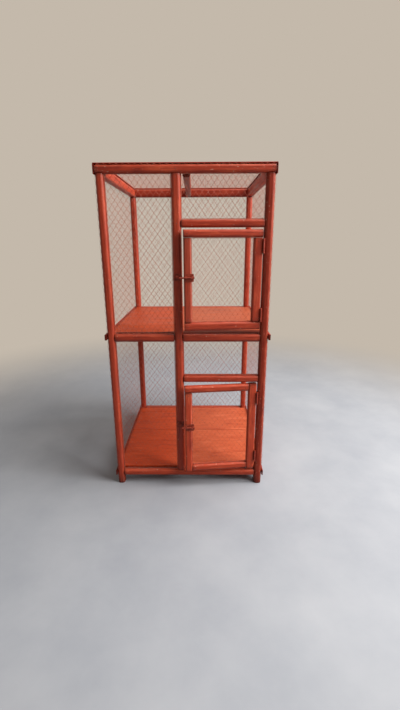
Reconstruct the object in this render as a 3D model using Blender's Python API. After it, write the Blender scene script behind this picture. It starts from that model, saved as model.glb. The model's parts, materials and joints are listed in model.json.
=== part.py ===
"""Two-storey wooden chicken cage with wire netting and two framed doors.

Units are metres and +Z is up. X runs across the front, and the front faces -Y.
The origin is on the floor, under the centre of everything that stands in the cage's box.
All pieces of the fixed frame hang on the empty cage_front, which lies in the plane of the
posts' front faces, so a piece's own Y is its distance behind that plane.
Each door hangs on an empty that stands on the pin of its hinges.
"""
import math

import bmesh
import bpy
from mathutils import Vector

# Overall sizes of the frame
CAGE_WIDTH = 0.600
CAGE_DEPTH = 0.648
FRAME_HEIGHT = 1.2185

# Timber sections: the deep side runs front to back
POST_WIDTH = 0.028
MIDDLE_POST_WIDTH = 0.032
HINGE_POST_WIDTH = 0.030
TIMBER_DEPTH = 0.036
FRONT_RAIL_DEPTH = 0.025
RAIL_HEIGHT = 0.027
CENTER_RAIL_WIDTH = 0.026
EDGE_ROUND = 0.0105
TIMBER_SEGMENTS = 4

# Clearances
FIT_GAP = 0.0003
CUT_OVERRUN = 0.002

# Levels and bays of the front
FOOT_HEIGHT = 0.036
MID_LEVEL_SHARE = 0.528
UPPER_WINDOW_HEIGHT = 0.144
LOWER_WINDOW_HEIGHT = 0.137
BAY_WIDTH = 0.2236
CENTER_RAIL_OFFSET = -0.0045
CENTER_RAIL_SKEW = math.radians(1.3)

# Floors: boards laid side by side, joined by their tongues
BOARD_WIDTH = 0.105
MID_FIRST_BOARD_WIDTH = 0.146
BOTTOM_FIRST_BOARD_WIDTH = 0.105
BOARD_THICKNESS = 0.010
BOARD_SEAM_WIDTH = 0.0024
BOARD_SEAM_DEPTH = 0.004
FLOOR_STEP = 0.0005

# Netting
NET_THICKNESS = 0.0012
NET_STRAND = 0.004
NET_SETBACK = 0.010
NET_CELL_WIDTH = 0.123
NET_CELL_HEIGHT = 0.165

# Laths and trim that hold the netting
MID_LATH_THICKNESS = 0.008
MID_LATH_HEIGHT = 0.022
BOTTOM_LATH_THICKNESS = 0.005
BOTTOM_LATH_HEIGHT = 0.024
LATH_ROUND = 0.001
TRIM_THICKNESS = 0.004
TRIM_WIDTH = 0.028
TRIM_DROP = 0.030

# Doors
DOOR_TIMBER = 0.027
HINGE_STILE_WIDTH = 0.031
UPPER_DOOR_SILL = 0.031
LOWER_DOOR_SILL = 0.027
DOOR_THICKNESS = 0.025
DOOR_TOP_GAP = 0.006
UPPER_LATCH_GAP = 0.007
LOWER_LATCH_GAP = 0.003
UPPER_SILL_GAP = 0.0185
LOWER_SILL_GAP = 0.0125
UPPER_DOOR_AJAR = math.radians(5.0)
LOWER_DOOR_AJAR = math.radians(6.2)

# Butt hinges
HINGE_HEIGHT = 0.050
HINGE_LEAF_DEPTH = 0.021
HINGE_LEAF_THICKNESS = 0.0010
HINGE_KNUCKLE_RADIUS = 0.0032
HINGE_PIN_RADIUS = 0.0015
HINGE_PIN_CLEARANCE = 0.00012
HINGE_PLACE_SHARE = 0.12
HINGE_SEGMENTS = 16

# Barrel bolts
BOLT_PLATE_LENGTH = 0.034
BOLT_PLATE_HEIGHT = 0.028
BOLT_PLATE_THICKNESS = 0.0015
BOLT_PLATE_CORNER = 0.003
BOLT_PLATE_INSET = 0.001
BOLT_ROD_RADIUS = 0.003
BOLT_ROD_BEHIND = 0.002
BOLT_ROD_CHAMFER = 0.0008
BOLT_CLEARANCE = 0.0003
BOLT_STRAP_WIDTH = 0.006
BOLT_STRAP_THICKNESS = 0.0012
BOLT_STRAP_END = 0.002
BOLT_KNOB_NECK_RADIUS = 0.0018
BOLT_KNOB_HEAD_RADIUS = 0.0034
BOLT_KNOB_NECK_LENGTH = 0.005
BOLT_KNOB_HEAD_LENGTH = 0.004
BOLT_KNOB_REST_GAP = 0.0005
BOLT_ABOVE_CENTER = 0.015
KEEPER_LENGTH = 0.030
KEEPER_HEIGHT = 0.025
KEEPER_STRAP_WIDTH = 0.008
KEEPER_CLEARANCE = 0.0008
KEEPER_SIDE_GAP = 0.0015
BOLT_SEGMENTS = 16

# Places that follow from the sizes above
HALF_WIDTH = CAGE_WIDTH / 2
BACK_POST_FRONT = CAGE_DEPTH - TIMBER_DEPTH
TOP_RAIL_BOTTOM = FRAME_HEIGHT - RAIL_HEIGHT
EDGE_RAIL_BOTTOM = FRAME_HEIGHT - TIMBER_DEPTH
MID_RAIL_TOP = MID_LEVEL_SHARE * FRAME_HEIGHT
MID_RAIL_BOTTOM = MID_RAIL_TOP - RAIL_HEIGHT
BOTTOM_RAIL_TOP = FOOT_HEIGHT + RAIL_HEIGHT
UPPER_CROSS_TOP = TOP_RAIL_BOTTOM - UPPER_WINDOW_HEIGHT
LOWER_CROSS_TOP = MID_RAIL_BOTTOM - LOWER_WINDOW_HEIGHT
INNER_LEFT = POST_WIDTH - HALF_WIDTH
INNER_RIGHT = HALF_WIDTH - POST_WIDTH
FRONT_INNER_RIGHT = HALF_WIDTH - HINGE_POST_WIDTH
MIDDLE_POST_LEFT = INNER_LEFT + BAY_WIDTH
MIDDLE_POST_RIGHT = MIDDLE_POST_LEFT + MIDDLE_POST_WIDTH
OUTER_NET_FACE = FIT_GAP + NET_THICKNESS + FIT_GAP

# The hinges' knuckles stand in front of the door, and their leaves fold into the gap beside it
HINGE_HALF_GAP = FIT_GAP / 2 + HINGE_LEAF_THICKNESS + FIT_GAP
HINGE_PROUD = HINGE_KNUCKLE_RADIUS + FIT_GAP
HINGE_X = FRONT_INNER_RIGHT - HINGE_HALF_GAP
UPPER_DOOR_LEFT = MIDDLE_POST_RIGHT + UPPER_LATCH_GAP - HINGE_X
LOWER_DOOR_LEFT = MIDDLE_POST_RIGHT + LOWER_LATCH_GAP - HINGE_X
UPPER_DOOR_BOTTOM = MID_RAIL_TOP + UPPER_SILL_GAP
LOWER_DOOR_BOTTOM = BOTTOM_RAIL_TOP + LOWER_SILL_GAP
UPPER_DOOR_HEIGHT = UPPER_CROSS_TOP - RAIL_HEIGHT - DOOR_TOP_GAP - UPPER_DOOR_BOTTOM
LOWER_DOOR_HEIGHT = LOWER_CROSS_TOP - RAIL_HEIGHT - DOOR_TOP_GAP - LOWER_DOOR_BOTTOM

# The bolt's rod lies in front of the door's face, measured in the door's own frame
BOLT_PLATE_BACK = HINGE_PROUD - FIT_GAP
BOLT_ROD_Y = BOLT_PLATE_BACK - BOLT_PLATE_THICKNESS - BOLT_CLEARANCE - BOLT_ROD_RADIUS
KEEPER_RIGHT = MIDDLE_POST_RIGHT - (MIDDLE_POST_WIDTH - KEEPER_LENGTH) / 2
KEEPER_STRAP_RIGHT = KEEPER_RIGHT - (KEEPER_LENGTH - KEEPER_STRAP_WIDTH) / 2
BOLT_TIP_X = KEEPER_STRAP_RIGHT + KEEPER_SIDE_GAP - HINGE_X
KNOB_REACH = BOLT_ROD_RADIUS + BOLT_KNOB_NECK_LENGTH + BOLT_KNOB_HEAD_LENGTH

# Places along the bolt, measured from the edge of the door at the latch
BOLT_STRAP_NEAR = BOLT_PLATE_INSET + BOLT_STRAP_END
BOLT_STRAP_FAR = BOLT_PLATE_INSET + BOLT_PLATE_LENGTH - BOLT_STRAP_END - BOLT_STRAP_WIDTH
BOLT_KNOB_PLACE = BOLT_STRAP_FAR - BOLT_KNOB_REST_GAP - BOLT_KNOB_NECK_RADIUS
BOLT_ROD_END = BOLT_PLATE_INSET + BOLT_PLATE_LENGTH + BOLT_ROD_BEHIND

# What stands in front of the posts' faces: the lower door ajar, with the knob of its bolt
FRONT_REACH = (
    HINGE_PROUD
    - (LOWER_DOOR_LEFT + BOLT_KNOB_PLACE) * math.sin(LOWER_DOOR_AJAR)
    + (KNOB_REACH - BOLT_ROD_Y) * math.cos(LOWER_DOOR_AJAR)
)
BACK_REACH = CAGE_DEPTH + FIT_GAP + NET_THICKNESS
FRONT_Y = (FRONT_REACH - BACK_REACH) / 2

# Paint and metal colours, linear
PAINT_COLOR = (0.42, 0.075, 0.035, 1.0)
DARK_PAINT_COLOR = (0.20, 0.035, 0.022, 1.0)
HARDWARE_COLOR = (0.24, 0.055, 0.040, 1.0)
WIRE_COLOR = (0.17, 0.045, 0.032, 1.0)


def make_material(name, color, roughness, metallic):
    """Principled material with one colour."""
    material = bpy.data.materials.new(name)
    material.use_nodes = True
    shader = material.node_tree.nodes["Principled BSDF"]
    shader.inputs["Base Color"].default_value = color
    shader.inputs["Roughness"].default_value = roughness
    shader.inputs["Metallic"].default_value = metallic
    material.diffuse_color = color
    return material


def painted_wood():
    """Brushed orange-red gloss paint on sawn timber."""
    return make_material("painted_wood", PAINT_COLOR, 0.42, 0.0)


def lath_wood():
    """Thin laths, painted darker in their end grain."""
    return make_material("lath_wood", DARK_PAINT_COLOR, 0.55, 0.0)


def painted_hardware():
    """Steel hinges and bolts, painted over with the frame."""
    return make_material("painted_hardware", HARDWARE_COLOR, 0.45, 0.3)


def galvanized_wire():
    """Galvanized netting wire, brushed over with the frame's paint."""
    return make_material("galvanized_wire", WIRE_COLOR, 0.5, 0.3)


def finish_mesh(name, bm):
    """Turn a bmesh into a mesh with outward faces."""
    bmesh.ops.recalc_face_normals(bm, faces=bm.faces)
    mesh = bpy.data.meshes.new(name)
    bm.to_mesh(mesh)
    bm.free()
    return mesh


def add_object(name, mesh, location, material, parent):
    """Link an object at its place under its parent."""
    piece = bpy.data.objects.new(name, mesh)
    piece.location = location
    piece.parent = parent
    if material:
        mesh.materials.append(material)
    bpy.context.scene.collection.objects.link(piece)
    return piece


def add_empty(name, location, turn, parent):
    """A frame that pieces are placed in, turned about Z."""
    empty = bpy.data.objects.new(name, None)
    empty.location = location
    empty.rotation_euler = (0, 0, turn)
    empty.parent = parent
    bpy.context.scene.collection.objects.link(empty)
    return empty


def shade_round(mesh):
    """Smooth shading with sharp edges at the corners."""
    mesh.shade_smooth()
    mesh.set_sharp_from_angle(angle=math.radians(35))


def box_mesh(name, size):
    """A box centred on its own origin."""
    bm = bmesh.new()
    bmesh.ops.create_cube(bm, size=1)
    bmesh.ops.scale(bm, vec=size, verts=bm.verts)
    return finish_mesh(name, bm)


def add_bevel(piece, width, segments):
    """Round every edge of a piece."""
    bevel = piece.modifiers.new("rounded edges", "BEVEL")
    bevel.width = width
    bevel.segments = segments
    bevel.limit_method = "ANGLE"
    return bevel


def timber(name, low, high, material, parent):
    """A straight batten between two corners: its long edges are worn round, its ends sawn."""
    size = Vector(high) - Vector(low)
    middle = (Vector(low) + Vector(high)) / 2
    bm = bmesh.new()
    bmesh.ops.create_cube(bm, size=1)
    bmesh.ops.scale(bm, vec=size, verts=bm.verts)
    lengthwise = max(range(3), key=lambda axis: size[axis])
    long_edges = []
    for edge in bm.edges:
        run = edge.verts[0].co - edge.verts[1].co
        if abs(run[lengthwise]) > size[lengthwise] / 2:
            long_edges.append(edge)
    bmesh.ops.bevel(
        bm, geom=long_edges, offset=EDGE_ROUND, offset_type="OFFSET", segments=TIMBER_SEGMENTS,
        profile=0.5, affect="EDGES", material=-1,
    )
    mesh = finish_mesh(name, bm)
    shade_round(mesh)
    return add_object(name, mesh, middle, material, parent)


def lath(name, low, high, material, parent):
    """A thin flat piece of wood between two corners, with its edges just taken off."""
    low, high = Vector(low), Vector(high)
    piece = add_object(name, box_mesh(name, high - low), (low + high) / 2, material, parent)
    add_bevel(piece, LATH_ROUND, 1)
    return piece


def join(piece, helper, operation="UNION"):
    """Combine a helper solid with a piece and hide the helper."""
    helper.hide_render = True
    helper.display_type = "WIRE"
    boolean = piece.modifiers.new(helper.name, "BOOLEAN")
    boolean.operation = operation
    boolean.object = helper
    return boolean


def revolved_mesh(name, profile, segments):
    """Solid of revolution about Z from (radius, height) points that start and end on the axis."""
    bm = bmesh.new()
    verts = [bm.verts.new((radius, 0, height)) for radius, height in profile]
    edges = [bm.edges.new(pair) for pair in zip(verts, verts[1:])]
    bmesh.ops.spin(
        bm, geom=verts + edges, cent=(0, 0, 0), axis=(0, 0, 1),
        angle=math.tau, steps=segments, use_merge=True,
    )
    bmesh.ops.remove_doubles(bm, verts=bm.verts, dist=FIT_GAP / 10)
    mesh = finish_mesh(name, bm)
    shade_round(mesh)
    return mesh


def tube_mesh(name, outer, inner, height, segments):
    """A ring-shaped wall standing on the XY plane."""
    bm = bmesh.new()
    corners = [(outer, 0), (outer, height), (inner, height), (inner, 0)]
    verts = [bm.verts.new((radius, 0, z)) for radius, z in corners]
    edges = [bm.edges.new((verts[i], verts[(i + 1) % 4])) for i in range(4)]
    bmesh.ops.spin(
        bm, geom=verts + edges, cent=(0, 0, 0), axis=(0, 0, 1),
        angle=math.tau, steps=segments, use_merge=True,
    )
    mesh = finish_mesh(name, bm)
    shade_round(mesh)
    return mesh


def thicken(bm, faces, shift):
    """Make a flat face region into a solid by carrying its copy along a vector."""
    raised = bmesh.ops.extrude_face_region(bm, geom=faces)
    moved = [item for item in raised["geom"] if isinstance(item, bmesh.types.BMVert)]
    bmesh.ops.translate(bm, vec=shift, verts=moved)


def net_mesh(name, width, height):
    """Flat diamond netting in the XZ plane, centred on its own origin."""
    columns = 2 * max(1, round(width / NET_CELL_WIDTH))
    rows = 2 * max(1, round(height / NET_CELL_HEIGHT))
    bm = bmesh.new()
    knots = {}
    for i in range(columns + 1):
        for j in range(rows + 1):
            if (i + j) % 2 == 0:
                x = (i / columns - 0.5) * width
                z = (j / rows - 0.5) * height
                knots[i, j] = bm.verts.new((x, NET_THICKNESS / 2, z))
    meshes = []
    for i in range(columns + 1):
        for j in range(rows + 1):
            around = [(i - 1, j), (i, j - 1), (i + 1, j), (i, j + 1)]
            corners = [knots[spot] for spot in around if spot in knots]
            if (i + j) % 2 == 1 and len(corners) > 2:
                meshes.append(bm.faces.new(corners))
    bm.normal_update()
    bmesh.ops.inset_individual(bm, faces=meshes, thickness=NET_STRAND / 2, use_even_offset=True)
    bmesh.ops.delete(bm, geom=meshes, context="FACES_ONLY")
    thicken(bm, list(bm.faces), (0, -NET_THICKNESS, 0))
    return finish_mesh(name, bm)


def net_panel(name, width, height, location, turn, material, parent):
    """A stretched piece of netting; turn lays it against the frame."""
    piece = add_object(name, net_mesh(name, width, height), location, material, parent)
    piece.rotation_euler = turn
    return piece


def build_posts(wood, cage):
    """Four corner posts, and the middle post between the bays."""
    corners = {
        "post_front_left": (-HALF_WIDTH, INNER_LEFT, 0, TOP_RAIL_BOTTOM),
        "post_front_right": (FRONT_INNER_RIGHT, HALF_WIDTH, 0, TOP_RAIL_BOTTOM),
        "post_back_left": (-HALF_WIDTH, INNER_LEFT, BACK_POST_FRONT, EDGE_RAIL_BOTTOM),
        "post_back_right": (INNER_RIGHT, HALF_WIDTH, BACK_POST_FRONT, EDGE_RAIL_BOTTOM),
    }
    for name, (left, right, front, top) in corners.items():
        high = (right, front + TIMBER_DEPTH, top - FIT_GAP)
        timber(name, (left, front, 0), high, wood, cage)
    low = (MIDDLE_POST_LEFT, 0, BOTTOM_RAIL_TOP + FIT_GAP)
    high = (MIDDLE_POST_RIGHT, TIMBER_DEPTH, TOP_RAIL_BOTTOM - FIT_GAP)
    timber("post_front_middle", low, high, wood, cage)


def build_top_rails(wood, cage):
    """The front rail lies flat on the posts; the other top rails stand on edge."""
    timber(
        "top_rail_front",
        (-HALF_WIDTH, 0, TOP_RAIL_BOTTOM), (HALF_WIDTH, TIMBER_DEPTH, FRAME_HEIGHT), wood, cage,
    )
    timber(
        "top_rail_back",
        (-HALF_WIDTH, BACK_POST_FRONT, EDGE_RAIL_BOTTOM), (HALF_WIDTH, CAGE_DEPTH, FRAME_HEIGHT),
        wood, cage,
    )
    front = TIMBER_DEPTH + FIT_GAP
    back = BACK_POST_FRONT - FIT_GAP
    for name, left in (("top_rail_left", -HALF_WIDTH), ("top_rail_right", INNER_RIGHT)):
        low = (left, front, EDGE_RAIL_BOTTOM)
        timber(name, low, (left + POST_WIDTH, back, FRAME_HEIGHT), wood, cage)
    # The centre rail is nailed slightly askew, so its square ends are a little shorter.
    slack = CENTER_RAIL_WIDTH / 2 * math.sin(CENTER_RAIL_SKEW)
    half_length = (back - front) / 2 - slack
    half_size = Vector((CENTER_RAIL_WIDTH, 2 * half_length, TIMBER_DEPTH)) / 2
    center = timber("top_rail_center", -half_size, half_size, wood, cage)
    middle_height = (EDGE_RAIL_BOTTOM + FRAME_HEIGHT) / 2
    center.location = (CENTER_RAIL_OFFSET, (front + back) / 2, middle_height)
    center.rotation_euler = (0, 0, CENTER_RAIL_SKEW)


def build_front_rails(wood, cage):
    """Rails between the front posts: mid level, bottom level and above the doors."""
    left = (INNER_LEFT + FIT_GAP, MIDDLE_POST_LEFT - FIT_GAP)
    right = (MIDDLE_POST_RIGHT + FIT_GAP, FRONT_INNER_RIGHT - FIT_GAP)
    whole = (INNER_LEFT + FIT_GAP, FRONT_INNER_RIGHT - FIT_GAP)
    # The rails in front of a floor are thinner, which leaves a slot between rail and boards.
    rails = {
        "mid_rail_front_left": (left, MID_RAIL_TOP, FRONT_RAIL_DEPTH),
        "mid_rail_front_right": (right, MID_RAIL_TOP, FRONT_RAIL_DEPTH),
        "bottom_rail_front": (whole, BOTTOM_RAIL_TOP, FRONT_RAIL_DEPTH),
        "cross_rail_upper": (right, UPPER_CROSS_TOP, TIMBER_DEPTH),
        "cross_rail_lower": (right, LOWER_CROSS_TOP, TIMBER_DEPTH),
    }
    for name, ((start, end), top, depth) in rails.items():
        timber(name, (start, 0, top - RAIL_HEIGHT), (end, depth, top), wood, cage)


def build_level(prefix, rail_top, first_board, wood, cage):
    """Side and back rails of one level, and the board floor that lies on them."""
    floor_top = rail_top - FLOOR_STEP
    floor_bottom = floor_top - BOARD_THICKNESS
    bearer_top = floor_bottom - FIT_GAP
    front = TIMBER_DEPTH + FIT_GAP
    back = BACK_POST_FRONT - FIT_GAP
    for side, x in (("left", -HALF_WIDTH), ("right", INNER_RIGHT)):
        low = (x, front, bearer_top - RAIL_HEIGHT)
        timber(f"{prefix}_rail_{side}", low, (x + POST_WIDTH, back, bearer_top), wood, cage)
    timber(
        f"{prefix}_rail_back",
        (INNER_LEFT + FIT_GAP, BACK_POST_FRONT, rail_top - RAIL_HEIGHT),
        (INNER_RIGHT - FIT_GAP, CAGE_DEPTH, rail_top), wood, cage,
    )
    half_width = HALF_WIDTH - FIT_GAP
    floor = lath(
        f"floor_{prefix}", (-half_width, front, floor_bottom), (half_width, back, floor_top),
        wood, cage,
    )
    seam = front + first_board
    while seam < back - BOARD_SEAM_WIDTH:
        cut_length = CAGE_WIDTH + CUT_OVERRUN
        cut_height = BOARD_SEAM_DEPTH + CUT_OVERRUN
        cutter_mesh = box_mesh("seam", (cut_length, BOARD_SEAM_WIDTH, cut_height))
        place = (0, seam, floor_top - BOARD_SEAM_DEPTH + cut_height / 2)
        join(floor, add_object(f"{prefix}_seam", cutter_mesh, place, None, cage), "DIFFERENCE")
        seam += BOARD_WIDTH


def build_frame_nets(wire, cage):
    """Netting on the back, sides and roof, and in the fixed front openings."""
    quarter = math.radians(90)
    side_height = FRAME_HEIGHT - FOOT_HEIGHT
    middle_z = (FRAME_HEIGHT + FOOT_HEIGHT) / 2
    outside = FIT_GAP + NET_THICKNESS / 2
    middle_y = CAGE_DEPTH / 2
    net_panel(
        "net_back", CAGE_WIDTH, side_height, (0, CAGE_DEPTH + outside, middle_z),
        (0, 0, 0), wire, cage,
    )
    for name, x in (("net_left", -HALF_WIDTH - outside), ("net_right", HALF_WIDTH + outside)):
        net_panel(
            name, CAGE_DEPTH, side_height, (x, middle_y, middle_z), (0, 0, quarter), wire, cage,
        )
    net_panel(
        "net_roof", CAGE_WIDTH, CAGE_DEPTH, (0, middle_y, FRAME_HEIGHT + outside),
        (quarter, 0, 0), wire, cage,
    )
    bay = (INNER_LEFT, MIDDLE_POST_LEFT)
    window = (MIDDLE_POST_RIGHT, FRONT_INNER_RIGHT)
    openings = {
        "net_bay_upper": (bay, MID_RAIL_TOP, TOP_RAIL_BOTTOM),
        "net_bay_lower": (bay, BOTTOM_RAIL_TOP, MID_RAIL_BOTTOM),
        "net_window_upper": (window, UPPER_CROSS_TOP, TOP_RAIL_BOTTOM),
        "net_window_lower": (window, LOWER_CROSS_TOP, MID_RAIL_BOTTOM),
    }
    for name, ((left, right), bottom, top) in openings.items():
        width = right - left - 2 * FIT_GAP
        height = top - bottom - 2 * FIT_GAP
        place = ((left + right) / 2, NET_SETBACK, (bottom + top) / 2)
        net_panel(name, width, height, place, (0, 0, 0), wire, cage)


def build_laths(wood, cage):
    """Laths nailed over the side netting at the floors, and the trim round the roof."""
    levels = {
        "side_lath_mid": (MID_RAIL_TOP, MID_LATH_HEIGHT, MID_LATH_THICKNESS),
        "side_lath_bottom": (BOTTOM_RAIL_TOP, BOTTOM_LATH_HEIGHT, BOTTOM_LATH_THICKNESS),
    }
    inner = HALF_WIDTH + OUTER_NET_FACE
    for name, (top, height, thickness) in levels.items():
        for side, x in (("left", -inner - thickness), ("right", inner)):
            low = (x, 0, top - height)
            high = (x + thickness, CAGE_DEPTH, top)
            lath(f"{name}_{side}", low, high, wood, cage)
    build_roof_trim(wood, cage)


def build_roof_trim(wood, cage):
    """A shallow lid-shaped trim: laths flat on the roof's edges, turned down at both sides."""
    outer = HALF_WIDTH + OUTER_NET_FACE + TRIM_THICKNESS
    top = FRAME_HEIGHT + OUTER_NET_FACE + TRIM_THICKNESS
    bottom = FRAME_HEIGHT - TRIM_DROP
    trim = lath("roof_trim", (-outer, 0, bottom), (outer, CAGE_DEPTH, top), wood, cage)
    hollow = (2 * (outer - TRIM_THICKNESS), CAGE_DEPTH + CUT_OVERRUN, top - bottom)
    place = (0, CAGE_DEPTH / 2, (top + bottom) / 2 - TRIM_THICKNESS)
    under = add_object("trim_hollow", box_mesh("trim_hollow", hollow), place, None, cage)
    join(trim, under, "DIFFERENCE")
    window = (CAGE_WIDTH - 2 * TRIM_WIDTH, CAGE_DEPTH - 2 * TRIM_WIDTH, top)
    place = (0, CAGE_DEPTH / 2, top)
    opening = add_object("trim_window", box_mesh("trim_window", window), place, None, cage)
    join(trim, opening, "DIFFERENCE")


def build_door(prefix, left, bottom, height, sill, ajar, full_stiles, wood, wire, cage):
    """A netted door frame, hung on an empty that stands on its hinges' axis."""
    axis = add_empty(f"{prefix}_axis", (HINGE_X, -HINGE_PROUD, bottom), ajar, cage)
    face, back = HINGE_PROUD, HINGE_PROUD + DOOR_THICKNESS
    right = -HINGE_HALF_GAP
    inner_left, inner_right = left + DOOR_TIMBER, right - HINGE_STILE_WIDTH
    rail_top = height - DOOR_TIMBER
    if full_stiles:
        hinge_stile = (0, height)
        latch_stile = (0, rail_top - FIT_GAP)
        top_rail = (left, inner_right - FIT_GAP)
        bottom_rail = (inner_left + FIT_GAP, inner_right - FIT_GAP)
    else:
        hinge_stile = (sill + FIT_GAP, rail_top - FIT_GAP)
        latch_stile = hinge_stile
        top_rail = (left, right)
        bottom_rail = top_rail
    pieces = {
        "hinge_stile": ((inner_right, right), hinge_stile),
        "latch_stile": ((left, inner_left), latch_stile),
        "top_rail": (top_rail, (rail_top, height)),
        "bottom_rail": (bottom_rail, (0, sill)),
    }
    for name, ((x0, x1), (z0, z1)) in pieces.items():
        timber(f"{prefix}_{name}", (x0, face, z0), (x1, back, z1), wood, axis)
    width = inner_right - inner_left - 2 * FIT_GAP
    net_height = rail_top - sill - 2 * FIT_GAP
    place = ((inner_left + inner_right) / 2, face + NET_SETBACK, (sill + rail_top) / 2)
    net_panel(f"net_{prefix}", width, net_height, place, (0, 0, 0), wire, axis)
    return axis


def hinge_leaf(name, side, fingers, location, metal, parent):
    """Leaf of a butt hinge beside the pin; its fingers reach in to carry the knuckles."""
    near = HINGE_KNUCKLE_RADIUS + FIT_GAP
    # The fingers end inside the wall of the knuckles, clear of the pin's bore.
    reach = (HINGE_PIN_RADIUS + HINGE_PIN_CLEARANCE + HINGE_KNUCKLE_RADIUS) / 2
    half = HINGE_HEIGHT / 2
    third = HINGE_HEIGHT / 6
    outline = [(HINGE_LEAF_DEPTH, -half), (HINGE_LEAF_DEPTH, half)]
    if fingers == "ends":
        outline += [(reach, half), (reach, third), (near, third)]
        outline += [(near, -third), (reach, -third), (reach, -half)]
    else:
        third -= FIT_GAP
        outline += [(near, half), (near, third), (reach, third)]
        outline += [(reach, -third), (near, -third), (near, -half)]
    outer = side * (FIT_GAP / 2 + HINGE_LEAF_THICKNESS)
    bm = bmesh.new()
    face = bm.faces.new([bm.verts.new((outer, y, z)) for y, z in outline])
    thicken(bm, [face], (-side * HINGE_LEAF_THICKNESS, 0, 0))
    return add_object(name, finish_mesh(name, bm), location, metal, parent)


def build_hinge(name, height, door_bottom, axis, metal, cage):
    """Butt hinge: the frame leaf carries the pin, the door leaf the knuckle that turns on it."""
    third = HINGE_HEIGHT / 3
    half = HINGE_HEIGHT / 2
    frame_place = (HINGE_X, -HINGE_PROUD, door_bottom + height)
    frame_leaf = hinge_leaf(f"{name}_frame_leaf", 1, "ends", frame_place, metal, cage)
    knuckle, pin = HINGE_KNUCKLE_RADIUS, HINGE_PIN_RADIUS
    profile = [
        (0, -half), (knuckle, -half), (knuckle, third - half), (pin, third - half),
        (pin, half - third), (knuckle, half - third), (knuckle, half), (0, half),
    ]
    pin_mesh = revolved_mesh(f"{name}_pin", profile, HINGE_SEGMENTS)
    join(frame_leaf, add_object(f"{name}_pin", pin_mesh, frame_place, None, cage))

    door_place = (0, 0, height)
    door_leaf = hinge_leaf(f"{name}_door_leaf", -1, "middle", door_place, metal, axis)
    length = third - 2 * FIT_GAP
    bore = HINGE_PIN_RADIUS + HINGE_PIN_CLEARANCE
    sleeve_mesh = tube_mesh(f"{name}_sleeve", knuckle, bore, length, HINGE_SEGMENTS)
    place = (0, 0, height - length / 2)
    join(door_leaf, add_object(f"{name}_sleeve", sleeve_mesh, place, None, axis))


def rounded_plate(name, length, height, thickness, corner):
    """Thin plate in the XZ plane with rounded corners; its back lies at Y = 0."""
    bm = bmesh.new()
    outline = []
    for quadrant in range(4):
        angle = math.radians(90) * quadrant
        x = (length / 2 - corner) * (1 if quadrant in (0, 3) else -1)
        z = (height / 2 - corner) * (1 if quadrant in (0, 1) else -1)
        for step in range(3):
            turn = angle + math.radians(45) * step
            outline.append((x + corner * math.cos(turn), 0, z + corner * math.sin(turn)))
    face = bm.faces.new([bm.verts.new(point) for point in outline])
    thicken(bm, [face], (0, -thickness, 0))
    return finish_mesh(name, bm)


def strap_mesh(name, width, bore, wall, axis_height):
    """Arched strap over a rod along X; its feet stand on Y = 0 and the rod is in front."""
    bm = bmesh.new()
    steps = 8
    arcs = []
    for radius in (bore + wall, bore):
        turns = [math.pi * step / steps for step in range(steps + 1)]
        arc = [(-axis_height - radius * math.sin(t), radius * math.cos(t)) for t in turns]
        arcs.append([(0, radius)] + arc + [(0, -radius)])
    outline = arcs[0] + arcs[1][::-1]
    face = bm.faces.new([bm.verts.new((-width / 2, y, z)) for y, z in outline])
    thicken(bm, [face], (width, 0, 0))
    mesh = finish_mesh(name, bm)
    shade_round(mesh)
    return mesh


def build_bolt(prefix, axis, left, height, door_bottom, metal, cage):
    """Barrel bolt on the latch stile, and its keeper on the middle post."""
    plate_mesh = rounded_plate(
        f"{prefix}_bolt_plate", BOLT_PLATE_LENGTH, BOLT_PLATE_HEIGHT,
        BOLT_PLATE_THICKNESS, BOLT_PLATE_CORNER,
    )
    plate_x = left + BOLT_PLATE_INSET + BOLT_PLATE_LENGTH / 2
    place = (plate_x, BOLT_PLATE_BACK, height)
    plate = add_object(f"{prefix}_bolt_plate", plate_mesh, place, metal, axis)
    bore = BOLT_ROD_RADIUS + BOLT_CLEARANCE
    rod_in_front = BOLT_PLATE_BACK - BOLT_ROD_Y
    strap_places = {
        "latch": left + BOLT_STRAP_NEAR + BOLT_STRAP_WIDTH / 2,
        "hinge": left + BOLT_STRAP_FAR + BOLT_STRAP_WIDTH / 2,
    }
    foot = BOLT_PLATE_THICKNESS / 2
    for side, x in strap_places.items():
        name = f"{prefix}_{side}_strap"
        mesh = strap_mesh(
            name, BOLT_STRAP_WIDTH, bore, BOLT_STRAP_THICKNESS, rod_in_front - foot,
        )
        join(plate, add_object(name, mesh, (x, BOLT_PLATE_BACK - foot, height), None, axis))

    build_bolt_rod(prefix, axis, left, height, metal)

    post_front = -FIT_GAP
    keeper_mesh = rounded_plate(
        f"{prefix}_bolt_keeper", KEEPER_LENGTH, KEEPER_HEIGHT,
        BOLT_PLATE_THICKNESS, BOLT_PLATE_CORNER,
    )
    keeper_z = door_bottom + height
    place = (KEEPER_RIGHT - KEEPER_LENGTH / 2, post_front, keeper_z)
    keeper = add_object(f"{prefix}_bolt_keeper", keeper_mesh, place, metal, cage)
    name = f"{prefix}_keeper_strap"
    bore = BOLT_ROD_RADIUS + KEEPER_CLEARANCE
    mesh = strap_mesh(name, KEEPER_STRAP_WIDTH, bore, BOLT_STRAP_THICKNESS, rod_in_front - foot)
    strap_x = KEEPER_STRAP_RIGHT - KEEPER_STRAP_WIDTH / 2
    join(keeper, add_object(name, mesh, (strap_x, post_front - foot, keeper_z), None, cage))


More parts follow.
